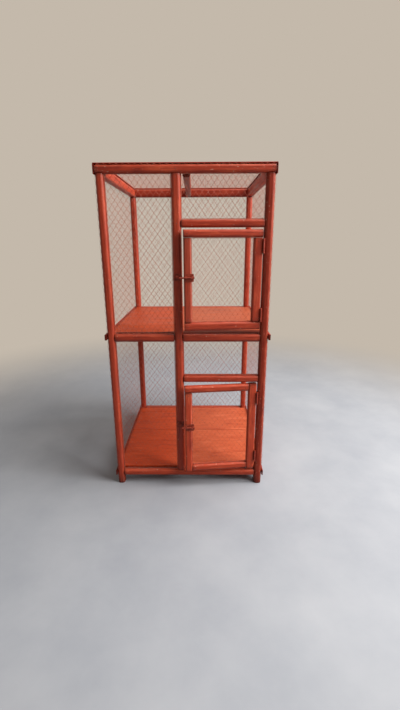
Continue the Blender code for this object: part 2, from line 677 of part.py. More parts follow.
def build_bolt_rod(prefix, axis, left, height, metal):
    """Round rod with a chamfered tip, and the knob that slides it between the straps."""
    rod_end = left + BOLT_ROD_END
    length = rod_end - BOLT_TIP_X
    radius, chamfer = BOLT_ROD_RADIUS, BOLT_ROD_CHAMFER
    profile = [
        (0, 0), (radius, 0), (radius, length - chamfer), (radius - chamfer, length), (0, length),
    ]
    rod = add_object(
        f"{prefix}_bolt_rod", revolved_mesh(f"{prefix}_bolt_rod", profile, BOLT_SEGMENTS),
        (rod_end, BOLT_ROD_Y, height), metal, axis,
    )
    rod.rotation_euler = (0, math.radians(-90), 0)
    neck, head = BOLT_KNOB_NECK_RADIUS, BOLT_KNOB_HEAD_RADIUS
    neck_end = BOLT_ROD_RADIUS + BOLT_KNOB_NECK_LENGTH
    head_round = BOLT_KNOB_HEAD_LENGTH / 4
    profile = [
        (0, 0), (neck, 0), (neck, neck_end), (head, neck_end + head_round),
        (head, KNOB_REACH - head_round), (head - head_round, KNOB_REACH), (0, KNOB_REACH),
    ]
    knob_mesh = revolved_mesh(f"{prefix}_knob", profile, BOLT_SEGMENTS)
    place = (left + BOLT_KNOB_PLACE, BOLT_ROD_Y, height)
    knob = add_object(f"{prefix}_knob", knob_mesh, place, None, axis)
    knob.rotation_euler = (math.radians(90), 0, 0)
    join(rod, knob)


def build_hung_door(
    prefix, left, bottom, height, sill, ajar, full_stiles, wood, wire, metal, cage,
):
    """A door with its two hinges and its bolt; left is its latch edge, seen from the pin."""
    axis = build_door(prefix, left, bottom, height, sill, ajar, full_stiles, wood, wire, cage)
    # The hinges keep apart and stay on the stile whatever the height of the door.
    from_end = HINGE_HEIGHT / 2 + HINGE_PLACE_SHARE * (height - 2 * HINGE_HEIGHT)
    places = {"bottom": from_end, "top": height - from_end}
    for end, hinge_height in places.items():
        build_hinge(f"{prefix}_hinge_{end}", hinge_height, bottom, axis, metal, cage)
    build_bolt(prefix, axis, left, height / 2 + BOLT_ABOVE_CENTER, bottom, metal, cage)


def main():
    for item in list(bpy.data.objects):
        bpy.data.objects.remove(item, do_unlink=True)
    wood, lath = painted_wood(), lath_wood()
    metal, wire = painted_hardware(), galvanized_wire()
    cage = add_empty("cage_front", (0, FRONT_Y, 0), 0, None)
    build_posts(wood, cage)
    build_top_rails(wood, cage)
    build_front_rails(wood, cage)
    build_level("mid", MID_RAIL_TOP, MID_FIRST_BOARD_WIDTH, wood, cage)
    build_level("bottom", BOTTOM_RAIL_TOP, BOTTOM_FIRST_BOARD_WIDTH, wood, cage)
    build_frame_nets(wire, cage)
    build_laths(lath, cage)
    build_hung_door(
        "upper_door", UPPER_DOOR_LEFT, UPPER_DOOR_BOTTOM, UPPER_DOOR_HEIGHT, UPPER_DOOR_SILL,
        UPPER_DOOR_AJAR, False, wood, wire, metal, cage,
    )
    build_hung_door(
        "lower_door", LOWER_DOOR_LEFT, LOWER_DOOR_BOTTOM, LOWER_DOOR_HEIGHT, LOWER_DOOR_SILL,
        LOWER_DOOR_AJAR, True, wood, wire, metal, cage,
    )


main()
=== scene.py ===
# %% [markdown]
# # A two-storey wooden chicken cage
#
# The cage is nailed together from thin sawn timber and brushed with red-orange paint. Wire
# netting covers its back, sides, roof and front openings, and two small framed doors hang on
# the right-hand post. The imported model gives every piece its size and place. This lesson
# dresses those pieces: each timber gets worn corners and brush marks, and each coarse net
# becomes fine wire.

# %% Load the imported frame
import json
import math

import bmesh
import bpy
from mathutils import Matrix, Vector, noise

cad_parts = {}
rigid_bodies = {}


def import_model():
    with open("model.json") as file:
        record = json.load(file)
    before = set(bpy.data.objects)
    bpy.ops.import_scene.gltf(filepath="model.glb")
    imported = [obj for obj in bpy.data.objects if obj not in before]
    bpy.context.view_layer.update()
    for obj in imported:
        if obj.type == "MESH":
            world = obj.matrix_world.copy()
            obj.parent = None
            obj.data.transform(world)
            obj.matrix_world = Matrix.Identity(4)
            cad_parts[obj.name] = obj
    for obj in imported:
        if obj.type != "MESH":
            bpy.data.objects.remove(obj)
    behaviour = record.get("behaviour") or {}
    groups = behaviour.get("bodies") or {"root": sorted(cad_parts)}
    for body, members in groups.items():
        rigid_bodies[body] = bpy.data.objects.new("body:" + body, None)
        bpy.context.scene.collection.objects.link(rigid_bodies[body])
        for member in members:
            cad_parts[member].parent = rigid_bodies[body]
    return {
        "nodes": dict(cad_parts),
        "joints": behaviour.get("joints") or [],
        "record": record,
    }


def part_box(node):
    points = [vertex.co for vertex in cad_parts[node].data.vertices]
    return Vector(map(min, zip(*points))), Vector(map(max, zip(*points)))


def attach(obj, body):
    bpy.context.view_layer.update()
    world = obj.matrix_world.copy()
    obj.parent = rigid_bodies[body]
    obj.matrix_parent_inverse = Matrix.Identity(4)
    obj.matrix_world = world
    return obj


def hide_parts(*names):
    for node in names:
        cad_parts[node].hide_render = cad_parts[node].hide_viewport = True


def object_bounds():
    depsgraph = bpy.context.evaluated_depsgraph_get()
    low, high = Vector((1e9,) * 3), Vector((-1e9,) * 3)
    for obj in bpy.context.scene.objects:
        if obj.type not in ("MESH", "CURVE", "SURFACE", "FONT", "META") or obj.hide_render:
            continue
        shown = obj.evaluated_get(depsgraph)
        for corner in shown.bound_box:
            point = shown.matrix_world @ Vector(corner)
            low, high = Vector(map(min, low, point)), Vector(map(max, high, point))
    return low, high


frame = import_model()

cad_low, cad_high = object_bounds()
print("the cage measures", [round(v, 3) for v in cad_high - cad_low])

# %% [markdown]
# ## The camera
#
# A camera is a focal length, a place and three turns. These were found by matching the
# corners of the posts, rails and doors to the photograph, so the frame's front face is the
# plane that the camera's distance is measured from. The lens is worked out from a focal
# length in pixels: the sensor's width belongs to the longer side of the picture.

# %% Camera at the photograph's angle
PICTURE_HEIGHT_PIXELS = 710
FOCAL_PIXELS = 372.21
SENSOR_WIDTH = 36.0
CAMERA_FROM_FRONT = Vector((0.0591, -1.3445, 0.9746))
CAMERA_YAW = math.radians(-0.54)
CAMERA_PITCH = math.radians(-16.957)
CAMERA_ROLL = math.radians(-0.232)

front_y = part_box("post_front_left")[0].y


def aim_matrix(yaw, pitch, roll):
    """Camera axes as columns: right, up, and the way back towards the viewer."""
    level = math.cos(pitch)
    forward = Vector((level * math.sin(yaw), level * math.cos(yaw), math.sin(pitch)))
    right = Vector((math.cos(yaw), -math.sin(yaw), 0))
    up = right.cross(forward)
    rolled_right = math.cos(roll) * right + math.sin(roll) * up
    rolled_up = math.cos(roll) * up - math.sin(roll) * right
    return Matrix((rolled_right, rolled_up, -forward)).transposed()


lens = bpy.data.cameras.new("camera")
lens.sensor_width = SENSOR_WIDTH
lens.lens = SENSOR_WIDTH * FOCAL_PIXELS / PICTURE_HEIGHT_PIXELS
camera = bpy.data.objects.new("camera", lens)
camera_place = CAMERA_FROM_FRONT + Vector((0, front_y, 0))
camera_turn = aim_matrix(CAMERA_YAW, CAMERA_PITCH, CAMERA_ROLL).to_4x4()
camera.matrix_world = Matrix.Translation(camera_place) @ camera_turn
bpy.context.scene.collection.objects.link(camera)
bpy.context.scene.camera = camera
bpy.context.scene.view_settings.view_transform = "Standard"
print("lens", round(lens.lens, 2), "mm at", [round(v, 3) for v in camera.location])

# %% [markdown]
# ## Helpers for materials
#
# A procedural material is a chain of small nodes. A few helpers keep the chains readable. One
# turns the familiar 0 to 255 colours into the linear numbers that a shader wants, and one
# adds a node with its settings and its inputs in a single call. The others add the nodes that
# come up again and again: ramps, blends, sums and stretched noise.

# %% Colour and node helpers


def paint(red, green, blue):
    """Linear colour from the 0 to 255 numbers of a picture editor."""
    linear = []
    for value in (red, green, blue):
        share = value / 255
        linear.append(share / 12.92 if share <= 0.04045 else ((share + 0.055) / 1.055) ** 2.4)
    return (*linear, 1.0)


def add_node(tree, kind, settings=None, **inputs):
    """Add a node. An input is a value, or the output socket that feeds it."""
    node = tree.nodes.new(kind)
    for key, value in (settings or {}).items():
        setattr(node, key, value)
    for key, value in inputs.items():
        numbered = key[1:].isdigit()
        socket = node.inputs[int(key[1:]) if numbered else key.replace("_", " ")]
        if isinstance(value, bpy.types.NodeSocket):
            tree.links.new(value, socket)
        else:
            socket.default_value = value
    return node


def color_ramp(tree, factor, stops):
    """Colour ramp from (position, colour) stops."""
    ramp = add_node(tree, "ShaderNodeValToRGB", None, Fac=factor)
    elements = ramp.color_ramp.elements
    while len(elements) < len(stops):
        elements.new(0.5)
    for element, (position, color) in zip(elements, stops):
        element.position = position
        element.color = color
    return ramp.outputs["Color"]


def blend_colors(tree, factor, first, second, mode="MIX"):
    """Mix two colours by a factor."""
    mix = add_node(tree, "ShaderNodeMix", {"data_type": "RGBA", "blend_type": mode})
    for index, value in ((0, factor), (6, first), (7, second)):
        if isinstance(value, bpy.types.NodeSocket):
            tree.links.new(value, mix.inputs[index])
        else:
            mix.inputs[index].default_value = value
    return mix.outputs[2]


def calculate(tree, operation, first, second=0.0, clamp=False):
    """One step of arithmetic on two numbers."""
    settings = {"operation": operation, "use_clamp": clamp}
    return add_node(tree, "ShaderNodeMath", settings, _0=first, _1=second).outputs[0]


def map_range(tree, value, start, end, to_start=0.0, to_end=1.0, smooth=False):
    """Carry the range from start to end over to another one."""
    settings = {"interpolation_type": "SMOOTHSTEP" if smooth else "LINEAR"}
    ranged = add_node(
        tree, "ShaderNodeMapRange", settings, Value=value,
        From_Min=start, From_Max=end, To_Min=to_start, To_Max=to_end,
    )
    return ranged.outputs[0]


def stretched_noise(tree, vector, stretch, detail=4.0, roughness=0.6):
    """Noise whose spots are drawn out along the axes with a small stretch number."""
    mapping = add_node(tree, "ShaderNodeMapping", None, Vector=vector, Scale=stretch)
    spots = add_node(
        tree, "ShaderNodeTexNoise", None, Vector=mapping.outputs[0],
        Scale=1.0, Detail=detail, Roughness=roughness,
    )
    return spots.outputs[0]


def object_position(tree):
    """A point's place on the piece, in metres."""
    return add_node(tree, "ShaderNodeTexCoord").outputs["Object"]


def new_material(name):
    """A material with its node tree and its shader."""
    material = bpy.data.materials.new(name)
    material.use_nodes = True
    tree = material.node_tree
    return material, tree, tree.nodes["Principled BSDF"]


print("helpers ready")

# %% [markdown]
# ## Brushed paint on sawn timber
#
# On the real cage a stiff brush has left thin paint in streaks along the grain. The paint is
# darker where it pooled, lighter where it was rubbed, and chipped to bare wood here and there
# on the corners. A flat red would look like plastic, so the colour comes from three layers of
# noise: broad patches, long streaks and fine grain. The streaks have to follow each timber,
# so every piece gets its own copy of the material, turned until its length lies along X and
# shifted so that no two pieces show the same marks.

# %% The paint's colours
PAINT_DEEP = paint(140, 42, 23)
PAINT_BODY = paint(171, 57, 31)
PAINT_BRIGHT = paint(192, 75, 43)
# The boards' paint is paler than the timbers', partly a painted sheen. The mid floor's darker paint
# is a painted shade that evens out the stronger light on that level.
BOARD_DEEP = paint(176, 72, 43)
BOARD_BODY = paint(197, 92, 58)
BOARD_BRIGHT = paint(209, 108, 74)
MID_BOARD_DEEP = paint(150, 66, 41)
MID_BOARD_BODY = paint(172, 84, 55)
MID_BOARD_BRIGHT = paint(186, 99, 70)
# Multiplied into the floors' left part, a painted shade.
LEFT_SHADE_TINT = (1.10, 0.69, 0.46, 1)
# A darker copy of the paint, a painted shade for the pieces that should look shaded.
SHADE_DEEP = paint(112, 32, 19)
SHADE_BODY = paint(142, 46, 28)
SHADE_BRIGHT = paint(160, 60, 38)
# A lighter copy of the paint, a painted light for the lower door and the front bottom rail.
LIT_DEEP = paint(152, 47, 25)
LIT_BODY = paint(186, 65, 35)
LIT_BRIGHT = paint(206, 86, 52)
# Pale pink on rubbed corners: partly real wear, partly a painted highlight on upper edges.
RUB_AND_HIGHLIGHT = paint(204, 108, 82)
BARE_WOOD = paint(228, 190, 164)
GROUND_DARK = paint(92, 46, 38)
LATH_DEEP = paint(86, 20, 10)
LATH_BODY = paint(148, 35, 16)
# A dark brown for painted shade: along the mid floor's front and near the timbers' ends.
PAINTED_SHADE_BROWN = paint(84, 26, 14)
TIMBER_COLORS = (PAINT_DEEP, PAINT_BODY, PAINT_BRIGHT)
SHADE_COLORS = (SHADE_DEEP, SHADE_BODY, SHADE_BRIGHT)
LIT_COLORS = (LIT_DEEP, LIT_BODY, LIT_BRIGHT)
LATH_COLORS = (LATH_DEEP, LATH_BODY, PAINT_BODY)
BOARD_COLORS = {
    "mid": (MID_BOARD_DEEP, MID_BOARD_BODY, MID_BOARD_BRIGHT),
    "bottom": (BOARD_DEEP, BOARD_BODY, BOARD_BRIGHT),
}
print("paint colours", [tuple(round(v, 3) for v in color[:3]) for color in TIMBER_COLORS])

# %% [markdown]
# The noise scales below are in spots per metre, first along the timber and then across it. A
# ramp turns noise into tones: grey below one multiplies the paint darker, and above one
# lighter.

# %% The brush marks' sizes and strengths
PATCH_SCALE = (9, 40, 40)
STREAK_SCALE = (16, 230, 230)
GRAIN_SCALE = (40, 1300, 1300)
RUB_SCALE = (30, 120, 120)
CHIP_SCALE = (90, 240, 240)
PATCH_STOPS = (0.30, 0.46, 0.55, 0.68)
PLAIN = (1, 1, 1, 1)
STREAK_TONES = [(0.30, (0.56, 0.44, 0.42, 1)), (0.47, PLAIN), (0.70, (1.22, 1.36, 1.40, 1))]
GRAIN_TONES = [(0.32, (0.78, 0.72, 0.72, 1)), (0.55, PLAIN)]
TIMBER_STREAKS = 0.85
BOARD_STREAKS = 0.4
GRAIN_STRENGTH = 0.7
RUB_FROM = 0.34
RUB_STRENGTH = 1.1
CHIP_FROM = 0.705
CHIP_STRENGTH = 0.9
CHIPS_ON_FACES = 0.35
# The paint darkens near each timber's ends, a painted shade where the pieces meet.
JOINT_SHADE_FADE = 3.0
JOINT_SHADE_STRENGTH = 0.75
GROUND_DARK_HEIGHT = 0.05
GROUND_DARK_STRENGTH = 1.6
SMOOTH_PAINT = 0.36
ROUGH_PAINT = 0.58
GLOSSY_SHEEN = 0.36
DULL_SHEEN = 0.2
GRAIN_RELIEF = 0.35
CHIP_RELIEF = 0.5
BRUSH_RELIEF = {"Strength": 0.55, "Distance": 0.0009}
# Where the floors' painted shade on the left fades out, along X.
LEFT_SHADE_FROM = 0.02
LEFT_SHADE_TO = -0.12
# A painted shade along the mid floor's front: depth, extra reach on the right, waver, edge.
FRONT_SHADE_DEPTH = 0.020
FRONT_SHADE_SPREAD = 0.030
FRONT_SHADE_WAVER = 0.010
FRONT_SHADE_EDGE = 0.008
print("streaks", STREAK_SCALE, "grain", GRAIN_SCALE)

# %% Painted wood


def shade_floor(tree, position, spots, color, shaded_front):
    """Painted shade on a floor: darker, redder paint on its left part, and a dark band along the
    first board's front.
    """
    place = add_node(tree, "ShaderNodeSeparateXYZ", None, Vector=position)
    left = map_range(tree, place.outputs["X"], LEFT_SHADE_FROM, LEFT_SHADE_TO, smooth=True)
    left_shaded = blend_colors(tree, 1.0, color, LEFT_SHADE_TINT, "MULTIPLY")
    color = blend_colors(tree, left, color, left_shaded)
    if shaded_front is None:
        return color
    # On the right, behind the door, the band reaches further back: a painted shadow of its rail.
    right = calculate(tree, "SUBTRACT", 1.0, left)
    waver = calculate(tree, "MULTIPLY", spots, FRONT_SHADE_WAVER)
    ragged = calculate(tree, "ADD", place.outputs["Y"], waver)
    spread = calculate(tree, "MULTIPLY", right, FRONT_SHADE_SPREAD)
    ragged = calculate(tree, "SUBTRACT", ragged, spread)
    shade_end = shaded_front + FRONT_SHADE_DEPTH
    front_shade = map_range(tree, ragged, shade_end, shade_end - FRONT_SHADE_EDGE)
    return blend_colors(tree, front_shade, color, PAINTED_SHADE_BROWN)


def run_along(tree, position, length_axis, seed, unturn):
    """A point's place with the timber's length along X, shifted by the timber's own amount."""
    turn_to_x = {
        0: Matrix.Identity(3),
        1: Matrix.Rotation(math.radians(-90), 3, "Z"),
        2: Matrix.Rotation(math.radians(90), 3, "Y"),
    }[length_axis]
    rotation = (turn_to_x @ (unturn or Matrix.Identity(3))).to_euler("XYZ")
    shift = Vector((seed * 1.37 % 5, seed * 2.11 % 7, seed * 3.73 % 9))
    mapping = add_node(
        tree, "ShaderNodeMapping", None, Vector=position, Rotation=rotation, Location=shift,
    )
    return mapping.outputs[0]


def wear_and_painted_shade(tree, along, grained, wear):
    """Rub the corners paler, partly a painted highlight on the upper ones, chip the paint, and
    darken the ends with a painted shade where pieces meet.
    """
    corner = add_node(tree, "ShaderNodeAttribute", {"attribute_name": "corner"}).outputs["Fac"]
    rub_spots = stretched_noise(tree, along, RUB_SCALE, 4.0)
    rub = calculate(tree, "SUBTRACT", rub_spots, RUB_FROM, True)
    rub = calculate(tree, "MULTIPLY", corner, rub)
    rub = calculate(tree, "MULTIPLY", rub, RUB_STRENGTH * wear, True)
    color = blend_colors(tree, rub, grained, RUB_AND_HIGHLIGHT)
    chip_spots = stretched_noise(tree, along, CHIP_SCALE, 2.0)
    chips = calculate(tree, "GREATER_THAN", chip_spots, CHIP_FROM)
    chips = calculate(tree, "MULTIPLY", chips, calculate(tree, "ADD", corner, CHIPS_ON_FACES, True))
    chipped = calculate(tree, "MULTIPLY", chips, CHIP_STRENGTH * wear, True)
    color = blend_colors(tree, chipped, color, BARE_WOOD)
    # Near each end the paint turns dark, a painted shade where the pieces meet.
    joint = add_node(tree, "ShaderNodeAttribute", {"attribute_name": "joint"}).outputs["Fac"]
    joint_shade = calculate(tree, "POWER", joint, JOINT_SHADE_FADE)
    joint_shade = calculate(tree, "MULTIPLY", joint_shade, JOINT_SHADE_STRENGTH)
    return blend_colors(tree, joint_shade, color, PAINTED_SHADE_BROWN), rub_spots, chips


def painted_wood(
    name, length_axis, seed, unturn=None, colors=TIMBER_COLORS, wear=1.0,
    board=False, shaded_front=None, sheen=GLOSSY_SHEEN,
):
    """Streaky paint on wood, along the given axis of the piece."""
    material, tree, shader = new_material(name)
    position = object_position(tree)
    along = run_along(tree, position, length_axis, seed, unturn)

    patches = stretched_noise(tree, along, PATCH_SCALE, 4.0)
    streaks = stretched_noise(tree, along, STREAK_SCALE, 5.0, 0.68)
    grain = stretched_noise(tree, along, GRAIN_SCALE, 3.0, 0.7)
    deep, body, bright = colors
    base = color_ramp(tree, patches, list(zip(PATCH_STOPS, (deep, body, body, bright))))
    streak_strength = BOARD_STREAKS if board else TIMBER_STREAKS
    streak_tones = color_ramp(tree, streaks, STREAK_TONES)
    streaked = blend_colors(tree, streak_strength, base, streak_tones, "MULTIPLY")
    grain_tones = color_ramp(tree, grain, GRAIN_TONES)
    grained = blend_colors(tree, GRAIN_STRENGTH, streaked, grain_tones, "MULTIPLY")
    worn, rub_spots, chips = wear_and_painted_shade(tree, along, grained, wear)

    # The paint is darker towards the ground, in spots.
    height = add_node(tree, "ShaderNodeSeparateXYZ", None, Vector=position).outputs["Z"]
    near_ground = map_range(tree, height, GROUND_DARK_HEIGHT, 0.0)
    ground_spots = calculate(tree, "MULTIPLY", rub_spots, GROUND_DARK_STRENGTH)
    toward_ground = calculate(tree, "MULTIPLY", near_ground, ground_spots, True)
    finished = blend_colors(tree, toward_ground, worn, GROUND_DARK)
    if board:
        finished = shade_floor(tree, position, rub_spots, finished, shaded_front)
    tree.links.new(finished, shader.inputs["Base Color"])

    roughness = map_range(tree, patches, 0.3, 0.7, SMOOTH_PAINT, ROUGH_PAINT)
    tree.links.new(calculate(tree, "ADD", roughness, chips), shader.inputs["Roughness"])
    shader.inputs["Specular IOR Level"].default_value = sheen
    relief = calculate(tree, "ADD", streaks, calculate(tree, "MULTIPLY", grain, GRAIN_RELIEF))
    sunk_chips = calculate(tree, "MULTIPLY", chips, CHIP_RELIEF)
    relief = calculate(tree, "SUBTRACT", relief, sunk_chips)
    bump = add_node(tree, "ShaderNodeBump", None, Height=relief, **BRUSH_RELIEF)
    tree.links.new(bump.outputs[0], shader.inputs["Normal"])
    return material


print("brushed paint ready")

# %% [markdown]
# ## Painted metal
#
# The hinges, bolts and netting were brushed over together with the wood. On the bolts the
# paint is thick and has worn to dull steel on the edges and where a hand moves the knob. The
# fine wire kept most of its paint but shows grey zinc in places.

# %% Hardware and wire
STEEL_PAINT = paint(156, 62, 44)
STEEL_DARK = paint(98, 36, 25)
STEEL_WORN = paint(180, 124, 102)
HINGE_PAINT = paint(160, 54, 32)
HINGE_DARK = paint(120, 38, 22)
WIRE_PAINT = paint(192, 102, 82)
WIRE_DEEP = paint(148, 74, 58)
WIRE_ZINC = paint(170, 144, 130)
NAIL_DARK = paint(78, 26, 18)
NAIL_PAINT = paint(150, 66, 46)
WORN_EDGE = 0.06
WORN_FINER = 2.7
METAL_RELIEF = {"Strength": 0.5, "Distance": 0.0004}


def painted_metal(name, deep, body, worn, spots_per_metre, worn_from, metallic=0.0, sheen=0.5):
    """Brushed-over metal with worn spots."""
    material, tree, shader = new_material(name)
    position = object_position(tree)
    spots = stretched_noise(tree, position, (spots_per_metre,) * 3, 5.0, 0.65)
    base = color_ramp(tree, spots, [(0.32, deep), (0.58, body)])
    wear = stretched_noise(tree, position, (spots_per_metre * WORN_FINER,) * 3, 3.0)
    bare = color_ramp(tree, wear, [(worn_from, (0, 0, 0, 1)), (worn_from + WORN_EDGE, PLAIN)])
    tree.links.new(blend_colors(tree, bare, base, worn), shader.inputs["Base Color"])
    tree.links.new(map_range(tree, spots, 0.0, 1.0, 0.30, 0.62), shader.inputs["Roughness"])
    shader.inputs["Metallic"].default_value = metallic
    shader.inputs["Specular IOR Level"].default_value = sheen
    bump = add_node(tree, "ShaderNodeBump", None, Height=spots, **METAL_RELIEF)
    tree.links.new(bump.outputs[0], shader.inputs["Normal"])
    return material


bolt_paint = painted_metal(
    "bolt_paint", STEEL_DARK, STEEL_PAINT, STEEL_WORN,
    spots_per_metre=160, worn_from=0.64, metallic=0.1, sheen=0.25,
)
hinge_paint = painted_metal(
    "hinge_paint", HINGE_DARK, HINGE_PAINT, STEEL_WORN, spots_per_metre=160, worn_from=0.70,
)
wire_paint = painted_metal(
    "wire_paint", WIRE_DEEP, WIRE_PAINT, WIRE_ZINC,
    spots_per_metre=60, worn_from=0.60, sheen=DULL_SHEEN,
)
nail_paint = painted_metal(
    "nail_paint", NAIL_DARK, NAIL_PAINT, STEEL_WORN,
    spots_per_metre=220, worn_from=0.64, metallic=0.1,
)
print("metal finishes ready")

# %% [markdown]
# ## Where every piece stands
#
# A node's place is in its vertices. The frame's pieces are square to the axes, so their boxes
# are their sizes. The doors stand ajar, and so does the slightly crooked centre rail of the
# roof: their pieces are measured after turning them back, shaped square, and turned again.

# %% Bodies, turns and boxes
CENTER_RAIL_SKEW = math.radians(1.3)
body_of_node = {
    node: body for body, nodes in frame["record"]["behaviour"]["bodies"].items() for node in nodes
}
slot_of_node = {part["node"]: part["material_slot"] for part in frame["record"]["subparts"]}
door_turns = {}
for joint in frame["joints"]:
    if joint["type"] == "hinge":
        pivot = Vector(joint["pos_m"])
        ajar = -math.radians(joint["range_deg"][0])
        swing = Matrix.Rotation(ajar, 4, "Z")
        door_turns[joint["child"]] = Matrix.Translation(pivot) @ swing @ Matrix.Translation(-pivot)
for joint in frame["joints"]:
    if joint["type"] == "slide":
        door_turns[joint["child"]] = door_turns[joint["parent"]]


def turn_of(node):
    """The turn that takes a square piece to where the node stands."""
    if node == "top_rail_center":
        low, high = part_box(node)
        middle = (low + high) / 2
        skew = Matrix.Rotation(CENTER_RAIL_SKEW, 4, "Z")
        return Matrix.Translation(middle) @ skew @ Matrix.Translation(-middle)
    return door_turns.get(body_of_node[node], Matrix.Identity(4))


def square_box(node):
    """Lowest and highest corners of a node once it is turned square."""
    back = turn_of(node).inverted()
    points = [back @ vertex.co for vertex in frame["nodes"][node].data.vertices]
    low = Vector([min(point[i] for point in points) for i in range(3)])
    high = Vector([max(point[i] for point in points) for i in range(3)])
    return low, high


turn_degrees = {name: round(math.degrees(m.to_euler().z), 2) for name, m in door_turns.items()}
print("door turns", turn_degrees)

# %% [markdown]
# ## Turning a bmesh into a piece
#
# Every finished piece sits at the origin with its place in its mesh, rides on the body of the
# node that it stands for, and gets the material made for it.

# %% Finish a piece


def finish_piece(name, bm, material, nodes=(), body=None, smooth_angle=40, weighted=True):
    """Make the object, ride it on its body and hide the CAD nodes that it stands for."""
    mesh = bpy.data.meshes.new(name)
    bm.to_mesh(mesh)
    bm.free()
    mesh.materials.append(material)
    mesh.shade_smooth()
    mesh.set_sharp_from_angle(angle=math.radians(smooth_angle))
    piece = bpy.data.objects.new(name, mesh)
    bpy.context.scene.collection.objects.link(piece)
    if weighted:
        piece.modifiers.new("even shading", "WEIGHTED_NORMAL").keep_sharp = True
    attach(piece, body or body_of_node[nodes[0]])
    for node in nodes:
        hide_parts(node)


print(len(slot_of_node), "nodes to dress")

# %% [markdown]
# ## Shaping one timber
#
# These battens are thin and look almost round: their four long corners are worn far back and
# their faces are crowned. Each timber starts as a cube scaled to its size. Its long edges are
# bevelled wide and its end edges narrow, then it is cut into rings. Each point then moves
# inwards: by a parabola that crowns the faces, and by a smooth noise for hollows and dents.
# Moving only inwards keeps the timber inside its own space, so it never touches its neighbour.
# How far a point lies on a corner, and how near to an end, are kept as attributes. The paint
# reads them to rub the corners paler, with a painted highlight on the upper corners, and to
# darken the ends with a painted shade where the pieces meet.

# %% The timbers' measures
CORNER_RADIUS = 0.0105
END_RADIUS = 0.0014
FACE_CROWN = 0.0004
FACE_DIP = 0.0003
CORNER_DENT = 0.0009
RAIL_SHAPE = {"radius": 0.0085, "crown": 0.0006}
DOOR_STILE_SHAPE = {"radius": 0.0056}
LATH_SHAPE = {"radius": 0.0015, "crown": 0.0002, "dip": 0.0003}
BOARD_SHAPE = {"radius": 0.0012, "crown": 0.0003, "dip": 0.0003, "dent": 0.0006}
TRIM_SHAPE = {"radius": 0.0013, "crown": 0.0002, "dip": 0.0003, "dent": 0.0008}
# The widest corner and the cuts across a face, as shares of the timber's thickness.
WIDEST_CORNER = 0.42
FACE_CUTS = (0.33, 0.67)
CORNER_SEGMENTS = 6
END_SEGMENTS = 2
RING_STEP = 0.018
# The noises that shape a timber's faces and corners, in bumps per metre. The faces' hollows
# are drawn out along the timber.
DIP_SCALE = 28
DIP_STRETCH = 0.22
DENT_SCALE = 34
DENT_FROM = 0.18
DENT_SPREAD = 2.2
RUB_SPREAD = 2.0
# The lower corners, on the shaded side, get this share of the paler rub.
SHADED_LOWER_CORNER_RUB = 0.4
print("corner radius", CORNER_RADIUS, "rings every", RING_STEP)

# %% Timber from a box


def new_timber_mesh():
    """An empty bmesh whose points can note how near they are to a corner and to a joint."""
    bm = bmesh.new()
    for name in ("corner", "joint"):
        bm.verts.layers.float.new(name)
    return bm


def add_timber(
    bm, low, high, seed, radius=CORNER_RADIUS, crown=FACE_CROWN, dip=FACE_DIP, dent=CORNER_DENT,
):
    """Add one worn batten to an empty mesh, between two corners, and return its length's axis."""
    size = high - low
    center = (low + high) / 2
    long_axis = max(range(3), key=lambda i: size[i])
    across = [i for i in range(3) if i != long_axis]
    radius = min(radius, WIDEST_CORNER * min(size[i] for i in across))
    made = bmesh.ops.create_cube(bm, size=1)["verts"]
    bmesh.ops.scale(bm, vec=size, verts=made)
    bmesh.ops.translate(bm, vec=center, verts=made)
    edges = list({edge for vertex in made for edge in vertex.link_edges})
    rounded = bmesh.ops.bevel(
        bm, geom=lengthwise_edges(edges, long_axis, size[long_axis]), offset=radius,
        offset_type="OFFSET", segments=CORNER_SEGMENTS, profile=0.5, affect="EDGES", material=-1,
    )
    faces = list({face for vertex in rounded["verts"] for face in vertex.link_faces})
    ends = [face for face in faces if abs(face.normal[long_axis]) > 0.99]
    end_edges = list({edge for face in ends for edge in face.edges})
    bmesh.ops.bevel(
        bm, geom=end_edges, offset=min(END_RADIUS, radius / 2), offset_type="OFFSET",
        segments=END_SEGMENTS, profile=0.5, affect="EDGES", material=-1,
    )
    for axis in across:
        for share in FACE_CUTS:
            place = Vector(center)
            place[axis] = low[axis] + share * size[axis]
            normal = Vector((0, 0, 0))
            normal[axis] = 1
            geometry = bm.verts[:] + bm.edges[:] + bm.faces[:]
            bmesh.ops.bisect_plane(bm, geom=geometry, dist=1e-6, plane_co=place, plane_no=normal)
    rings = max(2, round(size[long_axis] / RING_STEP))
    long_edges = lengthwise_edges(bm.edges, long_axis, size[long_axis])
    bmesh.ops.subdivide_edges(bm, edges=long_edges, cuts=rings, use_grid_fill=False)
    wear_timber(bm, low, high, long_axis, across, radius, seed, crown, dip, dent)
    return long_axis


def lengthwise_edges(edges, long_axis, length):
    """The edges that run most of a timber's length."""
    return [e for e in edges if abs((e.verts[0].co - e.verts[1].co)[long_axis]) > length / 2]


